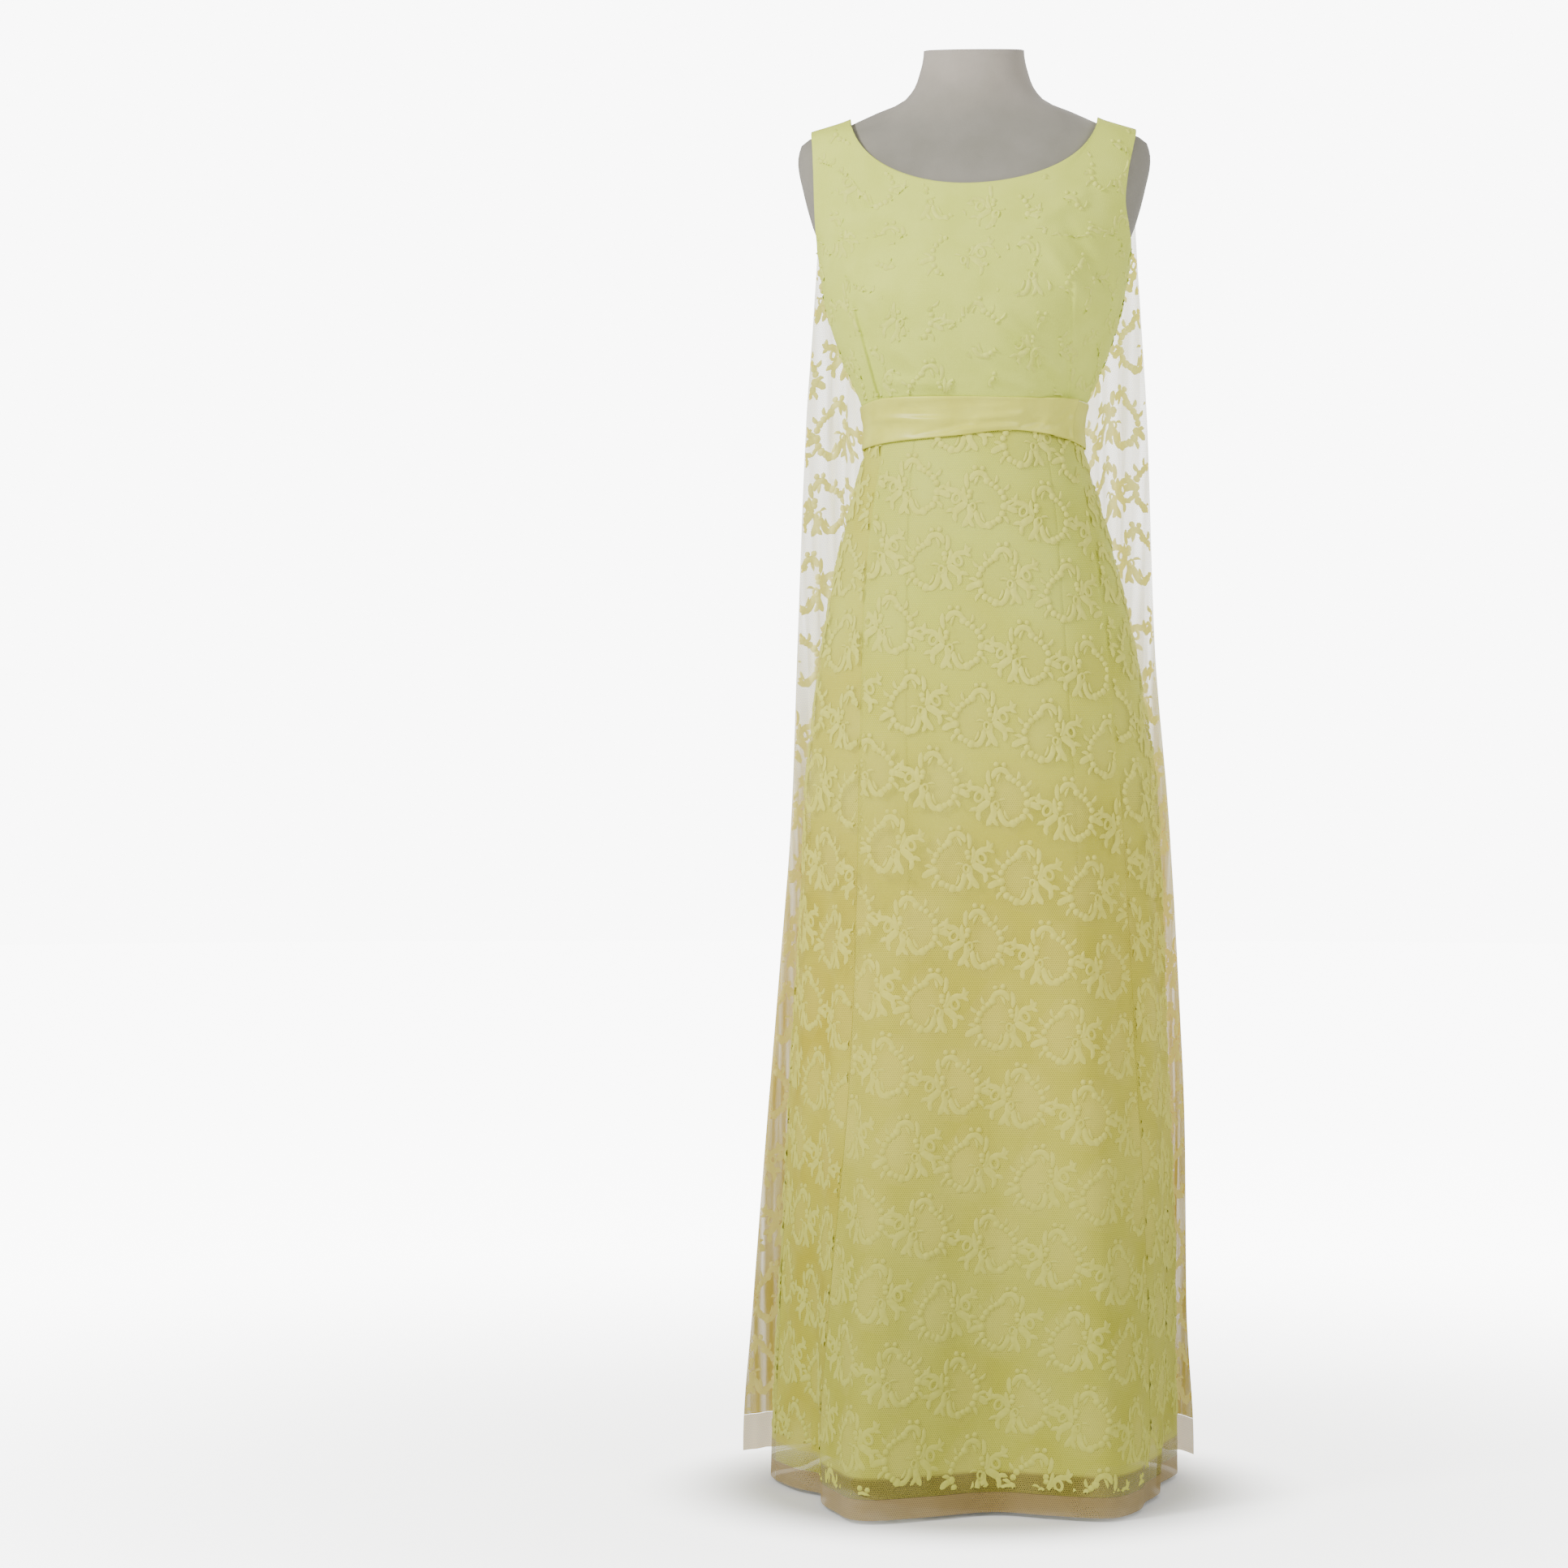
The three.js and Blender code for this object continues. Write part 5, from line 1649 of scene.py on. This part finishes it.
    def build(self) -> None:
        """Makes the lining, the lace gores and the hem."""
        top = WAIST_SEAM - SEAM_GAP / 2
        net_top = HEM_HEIGHT + NET_BAND
        for gore in Gore:
            node = gore.name.lower()
            outer, inner = self.lining(gore)
            piece = make_shell(f"lining_{node}_cloth", outer, inner, LINING_TAFFETA)
            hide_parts(f"lining_{node}")
            sheet = self.lace(gore, gore, top, net_top + SEAM_GAP / 2)
            start = self.starts[gore.value]
            net = make_net(f"lace_{node}_net", sheet, self.nets.get(gore, NET_ON_LINING), start)
            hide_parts(f"lace_{node}")
            kept, rise = self.plain_foot[gore.value], (1.5, 1.2)
            work = Embroidery(sheet, start=start, foot=kept, rise=rise, fuller=1.18)
            wreaths = work.make(f"lace_{node}_wreaths", WREATH_THREAD)
        bands = {
            "hem_back_left": (Gore.BACK_LEFT, Gore.BACK_LEFT),
            "hem_front": (Gore.SIDE_LEFT, Gore.SIDE_RIGHT),
            "hem_back_right": (Gore.BACK_RIGHT, Gore.BACK_RIGHT),
        }
        for node, (first, last) in bands.items():
            sheet = self.lace(first, last, net_top - SEAM_GAP / 2, HEM_HEIGHT)
            band = make_net(f"{node}_net", sheet, HEM_NET_IN_PAINTED_SHADE)
            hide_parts(node)


@dataclass
class Belt:
    """The satin belt, whose front end laps over the back piece, and the strip over the zip."""

    end_angle: float = 61.0
    lap_angle: float = 11.0
    crown: float = 1.6
    curl: float = 2.4
    back_top: float = 1098.0
    back_bottom: float = 1055.0
    rows: int = 26
    columns: int = 190
    placket_half: float = 9.0
    placket_top: float = 1338.0
    placket_bottom: float = 905.0

    def dress_radius(self, angle: Array, z: Array) -> Array:
        """Radius of the dress's outside near the waist."""
        offset = FORM.ease(z) + BODICE_WALL
        above = FORM.radius(angle, z, offset)
        below = SKIRT_FORM.lace_inner(angle, z) + SKIRT_FORM.lace_wall(z)
        return np.where(z > WAIST_SEAM, above, below)

    def edge(self, column: str, angle: Array) -> Array:
        """Height of the belt's top or bottom edge at an angle."""
        level = np.full(angle.shape, WAIST_SEAM)
        x = self.dress_radius(angle, level) * np.sin(np.radians(angle))
        behind = self.back_top if column == "top" else self.back_bottom
        return mix(curve(BELT_EDGES, column, x, key="x"), behind, smooth(85, 110, np.abs(angle)))

    def relief(self, angle: Array, share: Array, z: Array) -> Array:
        """The band's soft creases, which run along it."""
        turn = np.radians(angle)
        long_waves = 0.3 * np.sin(share * 9 + turn * 3) + 0.2 * np.sin(share * 15 - turn * 5)
        x = self.dress_radius(angle, z) * np.sin(turn)
        ahead = smooth(95, 80, np.abs(angle))
        inner = smooth(0, 0.12, share) * smooth(1, 0.88, share)
        creases = fold_heights(BELT_FOLDS, x, z) * ahead
        return (long_waves * 4 * share * (1 - share) + creases) * inner

    def band(self, start: float, end: float, lift: Callable) -> tuple[Sheet, Grid]:
        """A stretch of belt between two angles, as its outer sheet and inner grid."""
        shape = (self.rows, self.columns)
        angle = np.broadcast_to(np.linspace(start, end, self.columns)[None], shape)
        facing = np.where(angle > 180, angle - 360, angle)
        share = np.broadcast_to(np.linspace(1, 0, self.rows)[:, None], angle.shape)
        z = mix(self.edge("bottom", facing), self.edge("top", facing), share)
        crown = self.crown * 4 * share * (1 - share)
        radius = self.dress_radius(facing, z) + REST_GAP + lift(angle) + crown
        raised = np.maximum(self.relief(facing, share, z), -0.6 - 0.6 * crown)
        outer = SKIRT_FORM.point(radius + BELT_WALL + raised, angle, z)
        return Sheet(outer), SKIRT_FORM.point(radius + raised * 0.6, angle, z)

    def build(self) -> None:
        """Makes the belt's two pieces and the placket."""
        start = self.end_angle - self.lap_angle
        rise = BELT_WALL + SEAM_GAP + 1.3
        placket = PLACKET_WALL + REST_GAP
        front = self.band(-89.9, self.end_angle, self.lap(rise, start))
        back = self.band(start, 269.9, lambda a: placket * smooth(20, 8, np.abs(a - 180)))
        for node, (outer, inner) in (("belt_front", front), ("belt_back", back)):
            piece = make_shell(f"{node}_satin", outer, inner, BELT_SATIN)
            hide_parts(node)
        self.build_placket()

    def lap(self, rise: float, start: float) -> Callable[[Array], Array]:
        """How far the front end stands off: over the back piece, and its edge curls a little."""

        def lift(angle: Array) -> Array:
            """The end's rise at an angle."""
            over = rise * smooth(start - 14, start - 3, angle)
            return over + self.curl * smooth(-3.5, 0, angle - self.end_angle)

        return lift

    def build_placket(self) -> None:
        """Makes the lapped strip over the centre back."""
        tall = np.linspace(self.placket_top, self.placket_bottom, 110)
        x, z = np.meshgrid(np.linspace(self.placket_half, -self.placket_half, 9), tall)
        above = FORM.depth(x, z, FORM.ease(z) + BODICE_WALL, Facing.BACK)
        below = SKIRT_FORM.lace_inner(180 - x / 2, z) + SKIRT_FORM.lace_wall(z)
        surface = np.where(z > WAIST_SEAM, above, below) + REST_GAP
        sheet = Sheet(joined(x, surface + PLACKET_WALL, z))
        piece = make_shell("placket_strip", sheet, joined(x, surface, z), BELT_SATIN)
        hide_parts("back_placket")


@dataclass
class Train:
    """The sheer lace panel that hangs from the back neckline and straps to the floor."""

    seam: float = 8.0
    fullness: float = 3.2
    release: float = 85.0
    seat: float = 1.9
    clear: float = 4.0
    clear_depth: float = 22.0
    over_placket: float = 16.0
    fold_start: float = 0.3
    columns: int = 250
    rows: int = 200
    dense: int = 900  # columns before they are spread evenly along the cloth
    padding: float = 0.9  # how high the embroidery rises on each face
    fuller: float = 1.4  # how much broader its marks are than charted

    def half_width(self, across: Array, z: Array) -> Array:
        """Half width at a height, on the side that across is on."""
        return np.where(across < 0, curve(TRAIN, "left", z), curve(TRAIN, "right", z))

    def top(self, across: Array, bodice: Bodice) -> Array:
        """Height of the top edge, which is sewn along the back neckline and the straps."""
        x = np.abs(across * self.half_width(across, np.full(across.shape, TRAIN["z"][-1])))
        offset = float(FORM.ease(bodice.neck_corner) + BODICE_WALL)
        corner = float(FORM.ridge(bodice.neck_half_width, offset))
        share = np.minimum(1, x / bodice.neck_half_width)
        neck = mix(corner, bodice.back_neck_low, np.sqrt(1 - share**2))
        return np.where(x < bodice.neck_half_width, neck, FORM.ridge(x, offset)) - self.seam

    def folds(self, across: Array, z: Array) -> Array:
        """The folds' depth, with finer streaks between the large ones."""
        hills = bump(across[..., None], TRAIN_FOLDS["at"], TRAIN_FOLDS["spread"])
        large = np.sum(TRAIN_FOLDS["depth"] * hills, axis=-1)
        streaks = 0.08 * np.sin(across * 61 + z / 310) + 0.06 * np.sin(across * 97 - z / 230 + 1)
        return large + streaks * smooth(1330, 1100, z)

    def surface(self, across: Array, z: Array, top: Array) -> Grid:
        """The train's inner face."""
        x = across * self.half_width(across, z)
        released = smooth(0, self.release, top - z)
        rise = (PLACKET_WALL + REST_GAP) * bump(x, 0, self.over_placket)
        clear = mix(self.seat, self.clear, smooth(0, self.clear_depth, top - z))
        on_back = FORM.depth(x, z, FORM.ease(z) + BODICE_WALL, Facing.BACK) + rise + clear
        middle_share = 1 - np.abs(across) ** self.fullness
        hanging = mix(curve(TRAIN, "edge", z), curve(TRAIN, "middle", z), middle_share)
        depth = curve(TRAIN, "fold", z) * mix(self.fold_start, 1, released)
        return joined(x, mix(on_back, hanging, released) + self.folds(across, z) * depth, z)

    def panel(self, bodice: Bodice, foot: float, head: float | None, rows: int) -> Sheet:
        """The sheet between a height, or its top edge, and its foot."""
        across = np.linspace(1, -1, self.dense)[None]
        top = self.top(across, bodice)
        start = top if head is None else np.full(top.shape, head)
        z = mix(start, foot, np.linspace(0, 1, rows)[:, None])
        points = self.surface(np.broadcast_to(across, z.shape), z, np.broadcast_to(top, z.shape))
        points[..., 1] += TRAIN_WALL / 2
        return Sheet(even_columns(points, self.columns))

    def build(self, bodice: Bodice) -> None:
        """Makes the lace panel, its embroidery and its deep hem."""
        hem_top = HEM_HEIGHT + TRAIN_HEM_BAND
        sheet = self.panel(bodice, hem_top + SEAM_GAP / 2, None, self.rows)
        start = (-4.0, 38.0)
        net = make_net("train_net", sheet, TRAIN_NET, start)
        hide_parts("train_panel")
        for side, rise in (("outside", self.padding), ("inside", -self.padding)):
            work = Embroidery(
                sheet, start=start, foot=2.0, rise=(rise, rise), fuller=self.fuller
            )
            work.make(f"train_wreaths_{side}", TRAIN_THREAD)
        hem_sheet = self.panel(bodice, HEM_HEIGHT, hem_top - SEAM_GAP / 2, 12)
        hem = make_net("train_hem_net", hem_sheet, TRAIN_HEM_NET)
        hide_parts("train_hem")


# ---------------------------------------------------------------- the studio


@dataclass
class Studio:
    """A plain pale floor, soft light and a level camera straight in front."""

    camera_distance: float = 4000.0
    camera_height: float = 715.0
    camera_turn: float = 2.766  # degrees to the left, which leaves room beside the dress
    lens: float = 90.24
    floor_radius: float = 14.0
    pale_rings: tuple[tuple[float, float, float], ...] = (  # from, to and how bright
        (0.2, 0.36, 3.4),
        (0.3, 2.2, 5.6),
    )
    surround: float = 9.0
    behind_net: float = 0.45  # the share of that brightness that is seen through net
    ambient: float = 0.55
    lamps: tuple[tuple[str, tuple[float, float, float], float, float], ...] = (
        ("key", (-2.3, -1.9, 2.6), 0.8, 112.0),  # name, place, size and power
        ("fill", (2.2, -2.4, 2.1), 1.8, 42.0),
        ("back", (1.2, 2.8, 2.6), 2.2, 60.0),
    )
    aim: tuple[float, float, float] = (0.0, 0.0, 1.0)

    def camera(self) -> None:
        """Makes the camera."""
        data = bpy.data.cameras.new("camera")
        data.lens = self.lens
        data.sensor_width = 36.0
        data.clip_end = 100.0
        eye = put_in_scene("camera", data)
        eye.location = (0, -self.camera_distance * MM, self.camera_height * MM)
        eye.rotation_euler = (math.pi / 2, 0, math.radians(self.camera_turn))
        bpy.context.scene.camera = eye

    def seen(self, tree: Tree) -> Socket:
        """The share of the studio's white that a ray sees: all of it, less through net, or none."""
        ray = add_node(tree, "ShaderNodeLightPath")
        depth = ray.outputs["Transparent Depth"]
        layers = {"Value": depth, "To Min": 1.0, "To Max": self.behind_net}
        clear = add_node(tree, "ShaderNodeMapRange", layers).outputs[0]
        parts = {0: ray.outputs["Is Camera Ray"], 1: clear}
        return add_node(tree, "ShaderNodeMath", parts, operation="MULTIPLY").outputs[0]

    def floor_values(self, tree: Tree) -> dict:
        """The floor's shader inputs: near white, and paler in rings away from the dress."""
        place = add_node(tree, "ShaderNodeTexCoord").outputs["Object"]
        away = add_node(tree, "ShaderNodeVectorMath", {0: place}, operation="LENGTH")
        soft = {"interpolation_type": "SMOOTHSTEP"}
        glow = 0.0
        for start, end, pale in self.pale_rings:
            ring = {
                "Value": away.outputs["Value"], "From Min": start, "From Max": end, "To Max": pale
            }
            level = add_node(tree, "ShaderNodeMapRange", ring, **soft).outputs[0]
            glow = add_node(tree, "ShaderNodeMath", {0: level, 1: glow}, operation="ADD").outputs[0]
        parts = {0: glow, 1: self.seen(tree)}
        strength = add_node(tree, "ShaderNodeMath", parts, operation="MULTIPLY").outputs[0]
        return {
            "Base Color": linear("f4f4f2"),
            "Roughness": 0.95,
            "Specular IOR Level": 0.1,
            "Emission Color": (1, 1, 1, 1),
            "Emission Strength": strength,
        }

    def floor(self) -> None:
        """Makes the floor, a wide disc that pales to the surround far from the dress."""
        turn = np.linspace(0, 2 * np.pi, 96, endpoint=False)
        mesh = bpy.data.meshes.new("floor")
        reach = self.floor_radius
        rim = [(reach * math.cos(t), reach * math.sin(t), 0.0) for t in turn]
        mesh.from_pydata(rim, [], [list(range(len(rim)))])
        mesh.materials.append(new_material("pale floor", self.floor_values))
        floor = put_in_scene("floor", mesh)

    def light(self) -> None:
        """Makes a white surround and three soft lamps."""
        world = bpy.data.worlds.new("surround")
        bpy.context.scene.world = world
        world.use_nodes = True
        tree = world.node_tree
        tree.nodes.clear()
        levels = {"Value": self.seen(tree), "To Min": self.ambient, "To Max": self.surround}
        strength = add_node(tree, "ShaderNodeMapRange", levels).outputs[0]
        sky = add_node(tree, "ShaderNodeBackground", {"Color": (1, 1, 1, 1), "Strength": strength})
        add_node(tree, "ShaderNodeOutputWorld", {"Surface": sky.outputs[0]})
        for name, place, size, power in self.lamps:
            data = bpy.data.lights.new(name, "AREA")
            data.shape = "DISK"
            data.size = size
            data.energy = power
            lamp = put_in_scene(name, data)
            lamp.location = place
            aim = Vector(self.aim) - Vector(place)
            lamp.rotation_euler = aim.to_track_quat("-Z", "Y").to_euler()


def main() -> None:
    """Builds the studio and the dress."""
    logging.basicConfig(level=logging.INFO, format="%(name)s: %(message)s")
    studio = Studio()
    studio.camera()
    studio.floor()
    studio.light()
    DressForm().build()
    bodice = Bodice()
    bodice.build()
    Skirt().build()
    Belt().build()
    Train().build(bodice)


if __name__ == "__main__":
    main()
